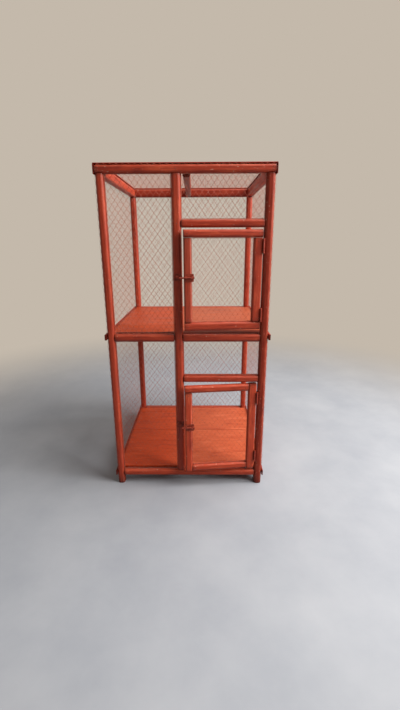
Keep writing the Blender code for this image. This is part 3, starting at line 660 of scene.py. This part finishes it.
def wear_timber(bm, low, high, long_axis, across, radius, seed, crown, dip, dent):
    """Crown the faces, dent the corners and note how near each point is to a corner."""
    layer = bm.verts.layers.float["corner"]
    joint = bm.verts.layers.float["joint"]
    center = (low + high) / 2
    half = (high - low) / 2
    shift = Vector((seed * 7.31 % 11, seed * 4.17 % 13, seed * 9.91 % 17))
    for vertex in bm.verts:
        co = vertex.co
        depth = [min(co[i] - low[i], high[i] - co[i]) for i in across]
        # On a corner's curve both distances from the faces are below the radius.
        cornerness = max(0.0, 1 - max(depth) / radius)
        # Level timbers are rubbed paler on their upper corners, partly a painted highlight.
        lit_side_share = SHADED_LOWER_CORNER_RUB if long_axis != 2 and co.z < center.z else 1.0
        vertex[layer] = lit_side_share * min(1.0, RUB_SPREAD * cornerness)
        # Near an end the paint is darkened later, a painted shade where the pieces meet.
        from_end = min(co[long_axis] - low[long_axis], high[long_axis] - co[long_axis])
        vertex[joint] = max(0.0, 1 - from_end / RING_STEP)
        stretched = Vector(co)
        stretched[long_axis] *= DIP_STRETCH
        broad = 0.5 + 0.5 * noise.noise(stretched * DIP_SCALE + shift)
        knocks = max(0.0, noise.noise(co * DENT_SCALE + shift * 2) - DENT_FROM)
        inward = dip * broad + dent * knocks * min(1.0, DENT_SPREAD * cornerness)
        from_center = co - center
        for i, other in (across, across[::-1]):
            side = 1 if from_center[i] > 0 else -1
            near_face = max(0.0, 1 - (half[i] - abs(from_center[i])) / radius)
            bulge = crown * (from_center[other] / half[other]) ** 2
            co[i] -= side * (inward + bulge) * near_face


print("timber maker ready")

# %% [markdown]
# The timbers aren't all finished alike. The laths have a darker paint. The back and centre top
# rails and the front right post get a darker copy of the paint, a painted shade, and the upper
# door's latch stile half of it. The lower door and the front bottom rail get a lighter copy, a
# painted light. The top rail is rubbed most, and its paler upper edge is partly a painted
# highlight.

# %% Paint and shape for each timber
LATH_FINISH = {"colors": LATH_COLORS, "wear": 0.7, "sheen": DULL_SHEEN}
SHADE_FINISH = {"colors": SHADE_COLORS, "sheen": DULL_SHEEN}
# The upper door's latch stile gets half of the painted shade.
HALF_SHADE_FINISH = {"colors": (SHADE_BODY, SHADE_BRIGHT, PAINT_BODY)}
# The top rail's strong rub is partly a painted highlight along its upper edge.
TOP_RAIL_RUB_AND_HIGHLIGHT = {"wear": 1.7}
# The lower door and the front bottom rail get the lighter copy, a painted light.
LIT_FINISH = {"colors": LIT_COLORS, "wear": 1.2}
POST_FINISH = {"wear": 0.6}


def finish_of(node):
    """How the paint on one timber differs from the usual."""
    if slot_of_node[node] == "lath_wood":
        return LATH_FINISH
    if node in ("top_rail_back", "top_rail_center", "post_front_right"):
        return SHADE_FINISH
    if node == "upper_door_latch_stile":
        return HALF_SHADE_FINISH
    if node == "top_rail_front":
        return TOP_RAIL_RUB_AND_HIGHLIGHT
    if node.startswith("lower_door_") or node == "bottom_rail_front":
        return LIT_FINISH
    return POST_FINISH if node.startswith("post_") else {}


def shape_of(node):
    """How one timber's shape differs from a post's."""
    if slot_of_node[node] == "lath_wood":
        return LATH_SHAPE
    if node.startswith("post_"):
        return {}
    return DOOR_STILE_SHAPE if "_door_" in node and "_stile" in node else RAIL_SHAPE


# The top rail's extra rub is partly a painted highlight along its upper edge.
print("the top rail is rubbed", TOP_RAIL_RUB_AND_HIGHLIGHT["wear"], "times as much as the other rails")

# %% Shape the timbers
timber_nodes = [
    node for node in sorted(slot_of_node)
    if slot_of_node[node] in ("painted_wood", "lath_wood")
    and not node.startswith("floor_") and node != "roof_trim"
]
for seed, node in enumerate(timber_nodes, start=1):
    bm = new_timber_mesh()
    low, high = square_box(node)
    turn = turn_of(node)
    axis = add_timber(bm, low, high, seed, **shape_of(node))
    bmesh.ops.transform(bm, matrix=turn, verts=bm.verts)
    unturn = turn.to_3x3().inverted()
    wood = painted_wood(f"{node}_paint", axis, seed, unturn, **finish_of(node))
    finish_piece(f"{node}_timber", bm, wood, (node,))
print(len(timber_nodes), "timbers shaped")

# %% [markdown]
# ## Floors of boards
#
# Each floor is a row of boards laid across the cage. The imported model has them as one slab
# with grooves. Here each board is a piece of its own, so that it can have its own grain and
# shade. Most boards are pushed tight together, and their joints only just show under the
# paint. Two joints in the lower floor stand open, the wider one as a dark line.

# %% Floor boards
BOARD_WIDTH = 0.105
TIGHT_JOINT = 0.0004
NARROW_JOINT = 0.0011
OPEN_JOINT = 0.0018
FIRST_BOARD_WIDTHS = {"mid": 0.146, "bottom": BOARD_WIDTH}
LOOSE_JOINTS = {"mid": {}, "bottom": {2: NARROW_JOINT, 3: OPEN_JOINT}}
FIRST_SEEDS = {"mid": 60, "bottom": 75}
BOARD_WEAR = 0.6
BOARD_SHEEN = 0.15
FRONT_SHADED_SHEEN = 0.05

for level, first_seed in FIRST_SEEDS.items():
    low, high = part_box(f"floor_{level}")
    edges = [low.y, low.y + FIRST_BOARD_WIDTHS[level]]
    while edges[-1] + BOARD_WIDTH < high.y - OPEN_JOINT:
        edges.append(edges[-1] + BOARD_WIDTH)
    edges.append(high.y)
    joints = [LOOSE_JOINTS[level].get(index, TIGHT_JOINT) for index in range(len(edges))]
    joints[0] = joints[-1] = 0
    for index, (front, back) in enumerate(zip(edges, edges[1:])):
        seed = first_seed + index
        bm = new_timber_mesh()
        start = Vector((low.x, front + joints[index] / 2, low.z))
        end = Vector((high.x, back - joints[index + 1] / 2, high.z))
        axis = add_timber(bm, start, end, seed, **BOARD_SHAPE)
        # The mid floor's first board gets a painted shade along its front and a duller sheen.
        front_shaded = index == 0 and level == "mid"
        wood = painted_wood(
            f"floor_{level}_paint_{index}", axis, seed, None, BOARD_COLORS[level], BOARD_WEAR,
            board=True, shaded_front=low.y if front_shaded else None,
            sheen=FRONT_SHADED_SHEEN if front_shaded else BOARD_SHEEN,
        )
        finish_piece(f"floor_{level}_board_{index}", bm, wood, (f"floor_{level}",))
    print("floor", level, "has", len(edges) - 1, "boards")

# %% [markdown]
# ## Trim round the roof
#
# Thin laths are tacked flat along the roof's edges and down its two sides, to hold the roof
# netting. They overlap at the corners. Each lath is a thin timber of its own.

# %% Roof trim
TRIM_THICKNESS = 0.004
TRIM_WIDTH = 0.028
TRIM_JOINT = 0.0012
TRIM_SETBACK = 0.0035
UNDER_FLAT = 0.0002
FIRST_TRIM_SEED = 90

trim_low, trim_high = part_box("roof_trim")
left, right = trim_low.x, trim_high.x
front, back = trim_low.y + TRIM_SETBACK, trim_high.y
bottom, top = trim_high.z - TRIM_THICKNESS, trim_high.z
inner_front = front + TRIM_WIDTH + TRIM_JOINT
inner_back = back - TRIM_WIDTH - TRIM_JOINT
side_top = bottom - UNDER_FLAT
trim_laths = {
    "roof_trim_front": ((left, front, bottom), (right, front + TRIM_WIDTH, top)),
    "roof_trim_back": ((left, back - TRIM_WIDTH, bottom), (right, back, top)),
    "roof_trim_left_flat": (
        (left, inner_front, bottom), (left + TRIM_WIDTH + TRIM_THICKNESS, inner_back, top),
    ),
    "roof_trim_right_flat": (
        (right - TRIM_WIDTH - TRIM_THICKNESS, inner_front, bottom), (right, inner_back, top),
    ),
    "roof_trim_left_side": (tuple(trim_low), (left + TRIM_THICKNESS, back, side_top)),
    "roof_trim_right_side": (
        (right - TRIM_THICKNESS, trim_low.y, trim_low.z), (right, back, side_top),
    ),
}
for seed, (name, (low, high)) in enumerate(trim_laths.items(), start=FIRST_TRIM_SEED):
    bm = new_timber_mesh()
    axis = add_timber(bm, Vector(low), Vector(high), seed, **TRIM_SHAPE)
    wood = painted_wood(f"{name}_paint", axis, seed, None, **LATH_FINISH)
    finish_piece(name, bm, wood, ("roof_trim",))
print(len(trim_laths), "trim laths")

# %% [markdown]
# ## Woven wire netting
#
# The netting is a small chain-link: each wire is a zigzag from bottom to top, and hooks round
# its neighbour at every bend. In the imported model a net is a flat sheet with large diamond
# gaps. Here one zigzag wire is drawn by extruding a small ring from bend to bend, and copied
# sideways. Every second copy is half a cell higher, so that the bends meet. The strokes that
# lean one way lie in front and the others behind, which is what lets the bends hook.

# %% One zigzag wire
WIRE_SIDES = 4
HOOK_RISE = 0.0009
# How far a bend's middle lies from the net's plane and from its cell, in wire radii.
HOOK_DEPTH = 1.04
HOOK_REACH = 1.1


def draw_zigzag(bm, half_width, half_height, bends, wire_radius):
    """One zigzag wire that starts at the origin and climbs along Z."""
    lean = math.hypot(half_width, half_height) / half_height
    ring = bmesh.ops.create_circle(
        bm, cap_ends=False, segments=WIRE_SIDES, radius=wire_radius,
    )["verts"]
    bmesh.ops.scale(bm, vec=(lean, 1, 1), verts=ring)
    depth = wire_radius * HOOK_DEPTH
    reach = wire_radius * HOOK_REACH
    here = Vector((0, 0, 0))
    edges = list({edge for vertex in ring for edge in vertex.link_edges})
    for bend in range(bends + 1):
        side = 1 if bend % 2 else -1
        x = half_width if bend % 2 else 0
        middle = bend * half_height
        stops = [
            Vector((x, side * -depth, middle - HOOK_RISE)),
            Vector((x + side * reach, 0, middle)),
            Vector((x, side * depth, middle + HOOK_RISE)),
        ]
        for stop in stops:
            if bend == 0 and stop is stops[0]:
                bmesh.ops.translate(bm, vec=stop, verts=ring)
                here = stop
                continue
            grown = bmesh.ops.extrude_edge_only(bm, edges=edges)["geom"]
            ring = [item for item in grown if isinstance(item, bmesh.types.BMVert)]
            edges = [item for item in grown if isinstance(item, bmesh.types.BMEdge)]
            bmesh.ops.translate(bm, vec=stop - here, verts=ring)
            here = stop


print("wire hooks", HOOK_RISE, "high")

# %% [markdown]
# A whole panel is cut out of the zigzags with four planes. A smooth noise then shifts its
# points a little, because no real netting is stretched quite even. That noise takes its seed
# from the clock unless it is given one, so a fixed seed makes every run weave the same nets.
# The front and door panels also get a thicker straight wire along their edges.

# %% A panel of netting
CELL_WIDTH = 0.0205
CELL_HEIGHT = 0.0275
BORDER_RADIUS = 0.0011
BORDER_SIDES = 6
NET_WANDER = 0.0011
WANDER_SCALE = 9
WANDER_FREE_EDGE = 0.03
WANDER_SEED = 1
MOST_CUT_SIDES = 12

noise.seed_set(WANDER_SEED)


def trim_to_panel(bm, width, height):
    """Cut off what runs past the panel's edges and close the cut ends."""
    cuts = [
        ((0, 0, 0), (-1, 0, 0)), ((width, 0, 0), (1, 0, 0)),
        ((0, 0, 0), (0, 0, -1)), ((0, 0, height), (0, 0, 1)),
    ]
    for place, outward in cuts:
        geometry = bm.verts[:] + bm.edges[:] + bm.faces[:]
        bmesh.ops.bisect_plane(
            bm, geom=geometry, dist=1e-7, plane_co=place, plane_no=outward, clear_outer=True,
        )
    open_edges = [edge for edge in bm.edges if edge.is_boundary]
    bmesh.ops.holes_fill(bm, edges=open_edges, sides=MOST_CUT_SIDES)


def weave_net(width, height, seed, wire_radius):
    """A panel of netting in the XZ plane, from the origin to (width, height)."""
    columns = max(2, 2 * round(width / CELL_WIDTH))
    rows = max(2, 2 * round(height / CELL_HEIGHT))
    half_width = width / columns
    half_height = height / rows
    bm = bmesh.new()
    draw_zigzag(bm, half_width, half_height, rows + 2, wire_radius)
    wire = bm.verts[:] + bm.edges[:] + bm.faces[:]
    bmesh.ops.translate(bm, vec=(0, 0, -half_height), verts=bm.verts)
    for column in range(1, columns):
        copied = bmesh.ops.duplicate(bm, geom=wire)["geom"]
        points = [item for item in copied if isinstance(item, bmesh.types.BMVert)]
        step = -half_height if column % 2 else 0
        bmesh.ops.translate(bm, vec=(column * half_width, 0, step), verts=points)
    trim_to_panel(bm, width, height)
    shift = Vector((seed * 3.1, seed * 5.3, seed * 1.7))
    for vertex in bm.verts:
        co = vertex.co
        from_edge = min(co.x, width - co.x, co.z, height - co.z)
        fade = min(1.0, from_edge / WANDER_FREE_EDGE)
        place = Vector((co.x * WANDER_SCALE, co.z * WANDER_SCALE, 0))
        drift = noise.noise_vector(place + shift)
        co.x += NET_WANDER * fade * drift.x
        co.z += NET_WANDER * fade * drift.z
    return bm


def add_border_wire(bm, width, height, radius):
    """A straight wire along each edge of a panel, where the netting is stapled."""
    runs = [
        ((0, 0), (width, 0)), ((0, height), (width, height)),
        ((0, 0), (0, height)), ((width, 0), (width, height)),
    ]
    for (x0, z0), (x1, z1) in runs:
        length = math.hypot(x1 - x0, z1 - z0)
        rod = bmesh.ops.create_cone(
            bm, cap_ends=True, segments=BORDER_SIDES, radius1=radius, radius2=radius,
            depth=length - 2 * radius,
        )["verts"]
        if z0 == z1:
            bmesh.ops.rotate(bm, matrix=Matrix.Rotation(math.radians(90), 3, "Y"), verts=rod)
        inset_x = radius if x1 == x0 == 0 else (-radius if x0 == x1 else 0)
        inset_z = radius if z1 == z0 == 0 else (-radius if z0 == z1 else 0)
        middle = Vector(((x0 + x1) / 2 + inset_x, 0, (z0 + z1) / 2 + inset_z))
        bmesh.ops.translate(bm, vec=middle, verts=rod)


print("cells of", CELL_WIDTH, "by", CELL_HEIGHT)

# %% [markdown]
# Each net is woven upright in the XZ plane and then laid where its node is: as it is in the
# front and back, turned about Z on the sides, and turned about X on the roof. The back net, the
# doors' nets and the lower ones are of a finer wire.

# %% Weave the nets
WIRE_RADIUS = 0.00046
FINE_WIRE_RADIUS = 0.00031
SIDE_WIRE_RADIUS = 0.00028
ROOF_WIRE_RADIUS = 0.00040
QUARTER_TURN = math.radians(90)


def lay_of(low, high, thin):
    """How a net is moved from the XZ plane to its box, and its width and height."""
    size = high - low
    middle = (low + high) / 2
    if thin == 1:
        return Matrix.Translation((low.x, middle.y, low.z)), size.x, size.z
    if thin == 0:
        place = Matrix.Translation((middle.x, low.y, low.z))
        return place @ Matrix.Rotation(QUARTER_TURN, 4, "Z"), size.y, size.z
    place = Matrix.Translation((low.x, high.y, middle.z))
    return place @ Matrix.Rotation(QUARTER_TURN, 4, "X"), size.x, size.y


net_nodes = sorted(node for node in slot_of_node if slot_of_node[node] == "galvanized_wire")
for seed, node in enumerate(net_nodes, start=1):
    low, high = square_box(node)
    thin = min(range(3), key=lambda i: high[i] - low[i])
    lay, width, height = lay_of(low, high, thin)
    wire_radius = (SIDE_WIRE_RADIUS, WIRE_RADIUS, ROOF_WIRE_RADIUS)[thin]
    if node == "net_back" or node.endswith(("_door", "_lower")):
        wire_radius = FINE_WIRE_RADIUS
    bm = weave_net(width, height, seed, wire_radius)
    if node.startswith(("net_bay", "net_window")) or node.endswith("_door"):
        add_border_wire(bm, width, height, BORDER_RADIUS)
    bmesh.ops.transform(bm, matrix=turn_of(node) @ lay, verts=bm.verts)
    print(node, [round(v, 3) for v in (width, height)], len(bm.faces), "faces")
    finish_piece(f"{node}_wire", bm, wire_paint, (node,), smooth_angle=60, weighted=False)

# %% [markdown]
# ## Hinges and bolts
#
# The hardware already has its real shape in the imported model. Its edges are too sharp to
# catch the light, so each piece is copied, its loose triangles are merged, its flat faces are
# made whole and its edges get a hair-fine bevel.

# %% Soften the hardware
HARDWARE_BEVEL = 0.00022
SHARP_ANGLE = math.radians(50)
FLAT_ANGLE = math.radians(1)


def softened_copy(node, width):
    """A merged copy of a node with fine bevels on its sharp edges."""
    bm = bmesh.new()
    bm.from_mesh(frame["nodes"][node].data)
    bmesh.ops.remove_doubles(bm, verts=bm.verts, dist=1e-6)
    bmesh.ops.dissolve_limit(bm, angle_limit=FLAT_ANGLE, verts=bm.verts, edges=bm.edges)
    sharp = [edge for edge in bm.edges if edge.is_manifold and edge.calc_face_angle() > SHARP_ANGLE]
    bmesh.ops.bevel(
        bm, geom=sharp, offset=width, offset_type="OFFSET", segments=2, profile=0.5,
        affect="EDGES", material=-1, clamp_overlap=True,
    )
    bmesh.ops.triangulate(bm, faces=[f for f in bm.faces if len(f.verts) > 4])
    return bm


hardware_nodes = sorted(n for n in slot_of_node if slot_of_node[n] == "painted_hardware")
for node in hardware_nodes:
    metal_paint = hinge_paint if "_leaf" in node else bolt_paint
    bm = softened_copy(node, HARDWARE_BEVEL)
    finish_piece(f"{node}_steel", bm, metal_paint, (node,), smooth_angle=45)
print(len(hardware_nodes), "steel pieces softened")

# %% [markdown]
# ## Nails and screws
#
# Round wire nails hold the timbers and small dome-headed screws hold the bolts. Each head is
# a low cone. The nails of one body are made in one mesh, and sunk where they would stand out of
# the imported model's box.

# %% Nail and screw heads
NAIL_RADIUS = 0.0024
NAIL_HEIGHT = 0.0007
SCREW_RADIUS = 0.0021
SCREW_HEIGHT = 0.0011
PLATE_THICKNESS = 0.0015
HEAD_SIDES = 10
# A head's top as a share of its radius, and its place as shares of its height.
DOME_TOP = 0.72
HEAD_RAISED = 0.25
NAIL_SUNK = 0.75
# A nail's face follows this share of the deepest hollow in the timber.
HOLLOW_SHARE = 0.6


def add_head(bm, place, outward, radius, height):
    """One low domed head on a face, pointing outwards."""
    head = bmesh.ops.create_cone(
        bm, cap_ends=True, segments=HEAD_SIDES, radius1=radius, radius2=radius * DOME_TOP,
        depth=height,
    )["verts"]
    aim = Vector(outward).to_track_quat("Z", "Y").to_matrix()
    bmesh.ops.rotate(bm, matrix=aim, verts=head)
    middle = Vector(place) + Vector(outward) * (height * HEAD_RAISED)
    bmesh.ops.translate(bm, vec=middle, verts=head)


def within_box(value, axis):
    """A nail's place along one axis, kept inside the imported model's box."""
    sunk = NAIL_HEIGHT * NAIL_SUNK
    return min(max(value, cad_low[axis] + sunk), cad_high[axis] - sunk)


def heads_on_timber(bm, node, face, lengthwise, crosswise):
    """Heads on one face of a node, at distances from its ends and shares of its width."""
    low, high = square_box(node)
    size = high - low
    long_axis = max(range(3), key=lambda i: size[i])
    face_axis, sign = face
    other = 3 - long_axis - face_axis
    turn = turn_of(node)
    outward = Vector((0, 0, 0))
    outward[face_axis] = sign
    for distance in lengthwise:
        for share in crosswise:
            place = Vector((0, 0, 0))
            start = low[long_axis] if distance >= 0 else high[long_axis]
            place[long_axis] = start + distance
            place[other] = low[other] + share * size[other]
            face_place = (high if sign > 0 else low)[face_axis]
            place[face_axis] = face_place - sign * FACE_DIP * HOLLOW_SHARE
            place[face_axis] = within_box(place[face_axis], face_axis)
            add_head(bm, turn @ place, turn.to_3x3() @ outward, NAIL_RADIUS, NAIL_HEIGHT)


def heads_on_plate(bm, node, inset):
    """A screw head in each corner of a steel plate that faces the front."""
    low, high = square_box(node)
    turn = turn_of(node)
    outward = turn.to_3x3() @ Vector((0, -1, 0))
    for x in (low.x + inset, high.x - inset):
        for z in (low.z + inset, high.z - inset):
            place = Vector((x, high.y - PLATE_THICKNESS, z))
            add_head(bm, turn @ place, outward, SCREW_RADIUS, SCREW_HEIGHT)


print("heads of", NAIL_RADIUS, "and", SCREW_RADIUS)

# %% [markdown]
# A face is named by its axis and its side: (1, -1) is the face towards the front, (0, 1) the
# one to the right. Distances run from a timber's lower end, and negative ones from its upper
# end. Shares run across its width.

# %% Nails in the frame
SIDE_LEFT, SIDE_RIGHT, SIDE_FRONT, SIDE_BACK = (0, -1), (0, 1), (1, -1), (1, 1)
NAIL_PAIR = (0.4, 0.6)
TOP_RAIL_PAIR = (0.36, 0.66)
CENTER_LINE = (0.5,)
TOP_RAIL_ENDS = (0.010, -0.010)
MIDDLE_POST_ENDS = [0.012, -0.012]
LATH_NAILS = (0.014, 0.17, 0.33, 0.49, -0.014)
# The nail in the top rail over the middle post.
MIDDLE_NAIL, MIDDLE_NAIL_SHARE = 0.268, 0.45


def middle_height(node):
    """The height of a level timber's middle."""
    low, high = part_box(node)
    return (low.z + high.z) / 2


bm = bmesh.new()
heads_on_timber(bm, "top_rail_front", SIDE_FRONT, TOP_RAIL_ENDS, TOP_RAIL_PAIR)
heads_on_timber(bm, "top_rail_front", SIDE_FRONT, (MIDDLE_NAIL,), (MIDDLE_NAIL_SHARE,))
mid_z = middle_height("mid_rail_front_left")
bottom_z = middle_height("bottom_rail_front")
cross_z = [middle_height(node) for node in ("cross_rail_upper", "cross_rail_lower")]
post_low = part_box("post_front_left")[0].z
levels = [bottom_z - post_low, mid_z - post_low]
right_levels = levels + [z - post_low for z in cross_z]
heads_on_timber(bm, "post_front_left", SIDE_LEFT, levels, NAIL_PAIR)
heads_on_timber(bm, "post_front_right", SIDE_RIGHT, right_levels, NAIL_PAIR)
heads_on_timber(bm, "post_back_left", SIDE_BACK, levels, NAIL_PAIR)
heads_on_timber(bm, "post_back_right", SIDE_BACK, levels, NAIL_PAIR)
middle_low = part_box("post_front_middle")[0].z
middle_levels = [mid_z - middle_low] + [z - middle_low for z in cross_z]
heads_on_timber(
    bm, "post_front_middle", SIDE_FRONT, middle_levels + MIDDLE_POST_ENDS, CENTER_LINE,
)
for side, face in (("left", SIDE_LEFT), ("right", SIDE_RIGHT)):
    for name in ("side_lath_mid", "side_lath_bottom"):
        heads_on_timber(bm, f"{name}_{side}", face, LATH_NAILS, CENTER_LINE)
print("frame nail faces", len(bm.faces))
finish_piece("frame_nails", bm, nail_paint, body="frame", smooth_angle=30)

# %% Nails and screws in the doors, and the keepers' screws
BOLT_SCREW_INSET = 0.0042
KEEPER_SCREW_INSET = 0.0038
RAIL_ENDS = (0.013, -0.013)
STILE_ENDS = (0.012, -0.012)

for door in ("upper_door", "lower_door"):
    bm = bmesh.new()
    for rail in ("top_rail", "bottom_rail"):
        heads_on_timber(bm, f"{door}_{rail}", SIDE_FRONT, RAIL_ENDS, CENTER_LINE)
    for stile in ("hinge_stile", "latch_stile"):
        heads_on_timber(bm, f"{door}_{stile}", SIDE_FRONT, STILE_ENDS, CENTER_LINE)
    heads_on_plate(bm, f"{door}_bolt_plate", BOLT_SCREW_INSET)
    finish_piece(f"{door}_nails", bm, nail_paint, body=door, smooth_angle=30)

bm = bmesh.new()
for door in ("upper_door", "lower_door"):
    heads_on_plate(bm, f"{door}_bolt_keeper", KEEPER_SCREW_INSET)
finish_piece("keeper_screws", bm, nail_paint, body="frame", smooth_angle=30)
print("nails and screws placed")

# %% [markdown]
# ## The studio
#
# The studio has a plain pale floor and a soft light from the upper right. The main lamp is
# large, so its shadows are soft, and a second one shines down from above. The floor and sky
# that the camera sees are plain pale tones. The light that they throw back is weaker, so the
# sides of the timbers that face away from the lamps fall into shadow.

# %% Floor
FLOOR_REACH = 14.0
BACKDROP = paint(196, 185, 171)
FLOOR_DARK = paint(150, 154, 162)
FLOOR_LIGHT = paint(166, 169, 175)
FLOOR_BOUNCE = paint(112, 114, 120)
FLOOR_ROUGHNESS = 0.6


def seen_by_camera(tree):
    """1 for rays that show the backdrop in the picture, 0 for rays that carry its light."""
    rays = add_node(tree, "ShaderNodeLightPath").outputs
    seen = calculate(tree, "MAXIMUM", rays["Is Camera Ray"], rays["Is Transmission Ray"])
    return calculate(tree, "MAXIMUM", seen, rays["Is Glossy Ray"])


bm = bmesh.new()
bmesh.ops.create_grid(bm, x_segments=1, y_segments=1, size=FLOOR_REACH)
floor_mesh = bpy.data.meshes.new("studio_floor")
bm.to_mesh(floor_mesh)
bm.free()
studio_floor = bpy.data.objects.new("studio_floor", floor_mesh)
bpy.context.scene.collection.objects.link(studio_floor)
floor_material, tree, shader = new_material("studio_floor")
shader.inputs["Roughness"].default_value = FLOOR_ROUGHNESS
place = object_position(tree)
cloud = stretched_noise(tree, place, (3, 3, 3), 6.0)
tone = color_ramp(tree, cloud, [(0.3, FLOOR_DARK), (0.7, FLOOR_LIGHT)])
seen = seen_by_camera(tree)
tree.links.new(blend_colors(tree, seen, FLOOR_BOUNCE, tone), shader.inputs["Base Color"])
print("floor", 2 * FLOOR_REACH, "m wide")

# %% The floor's far part melts into the backdrop
MELT_FROM, MELT_TO = 1.0, 2.6

length = add_node(tree, "ShaderNodeVectorMath", {"operation": "LENGTH"}, _0=place)
melt = map_range(tree, length.outputs["Value"], MELT_FROM, MELT_TO, smooth=True)
backdrop = add_node(tree, "ShaderNodeEmission", None, Color=BACKDROP)
melting = add_node(
    tree, "ShaderNodeMixShader", None, _0=calculate(tree, "MULTIPLY", melt, seen),
    _1=shader.outputs[0], _2=backdrop.outputs[0],
)
tree.links.new(melting.outputs[0], tree.nodes["Material Output"].inputs["Surface"])
floor_mesh.materials.append(floor_material)
print("the floor melts away from", MELT_FROM, "to", MELT_TO, "m")

# %% World and lamps
AMBIENT = (0.255, 0.238, 0.22, 1.0)
CAGE_MIDDLE = (0, 0, 0.6)

world = bpy.data.worlds.new("studio")
bpy.context.scene.world = world
world.use_nodes = True
sky = world.node_tree
sky_color = blend_colors(sky, seen_by_camera(sky), AMBIENT, BACKDROP)
sky.links.new(sky_color, sky.nodes["Background"].inputs["Color"])


def soft_lamp(name, place, size, power, color):
    """A square lamp at a place, aimed at the cage's middle."""
    lamp = bpy.data.lights.new(name, "AREA")
    lamp.shape = "SQUARE"
    lamp.size = size
    lamp.energy = power
    lamp.color = color
    holder = bpy.data.objects.new(name, lamp)
    holder.location = place
    toward = Vector(CAGE_MIDDLE) - Vector(place)
    holder.rotation_euler = toward.to_track_quat("-Z", "Y").to_euler()
    bpy.context.scene.collection.objects.link(holder)


soft_lamp("window_light", place=(2.75, -1.05, 2.53), size=2.3, power=178, color=(1.0, 0.98, 0.95))
soft_lamp("sky_light", place=(1.3, -0.05, 2.9), size=1.5, power=60, color=(1.0, 0.98, 0.96))
print("studio ready")
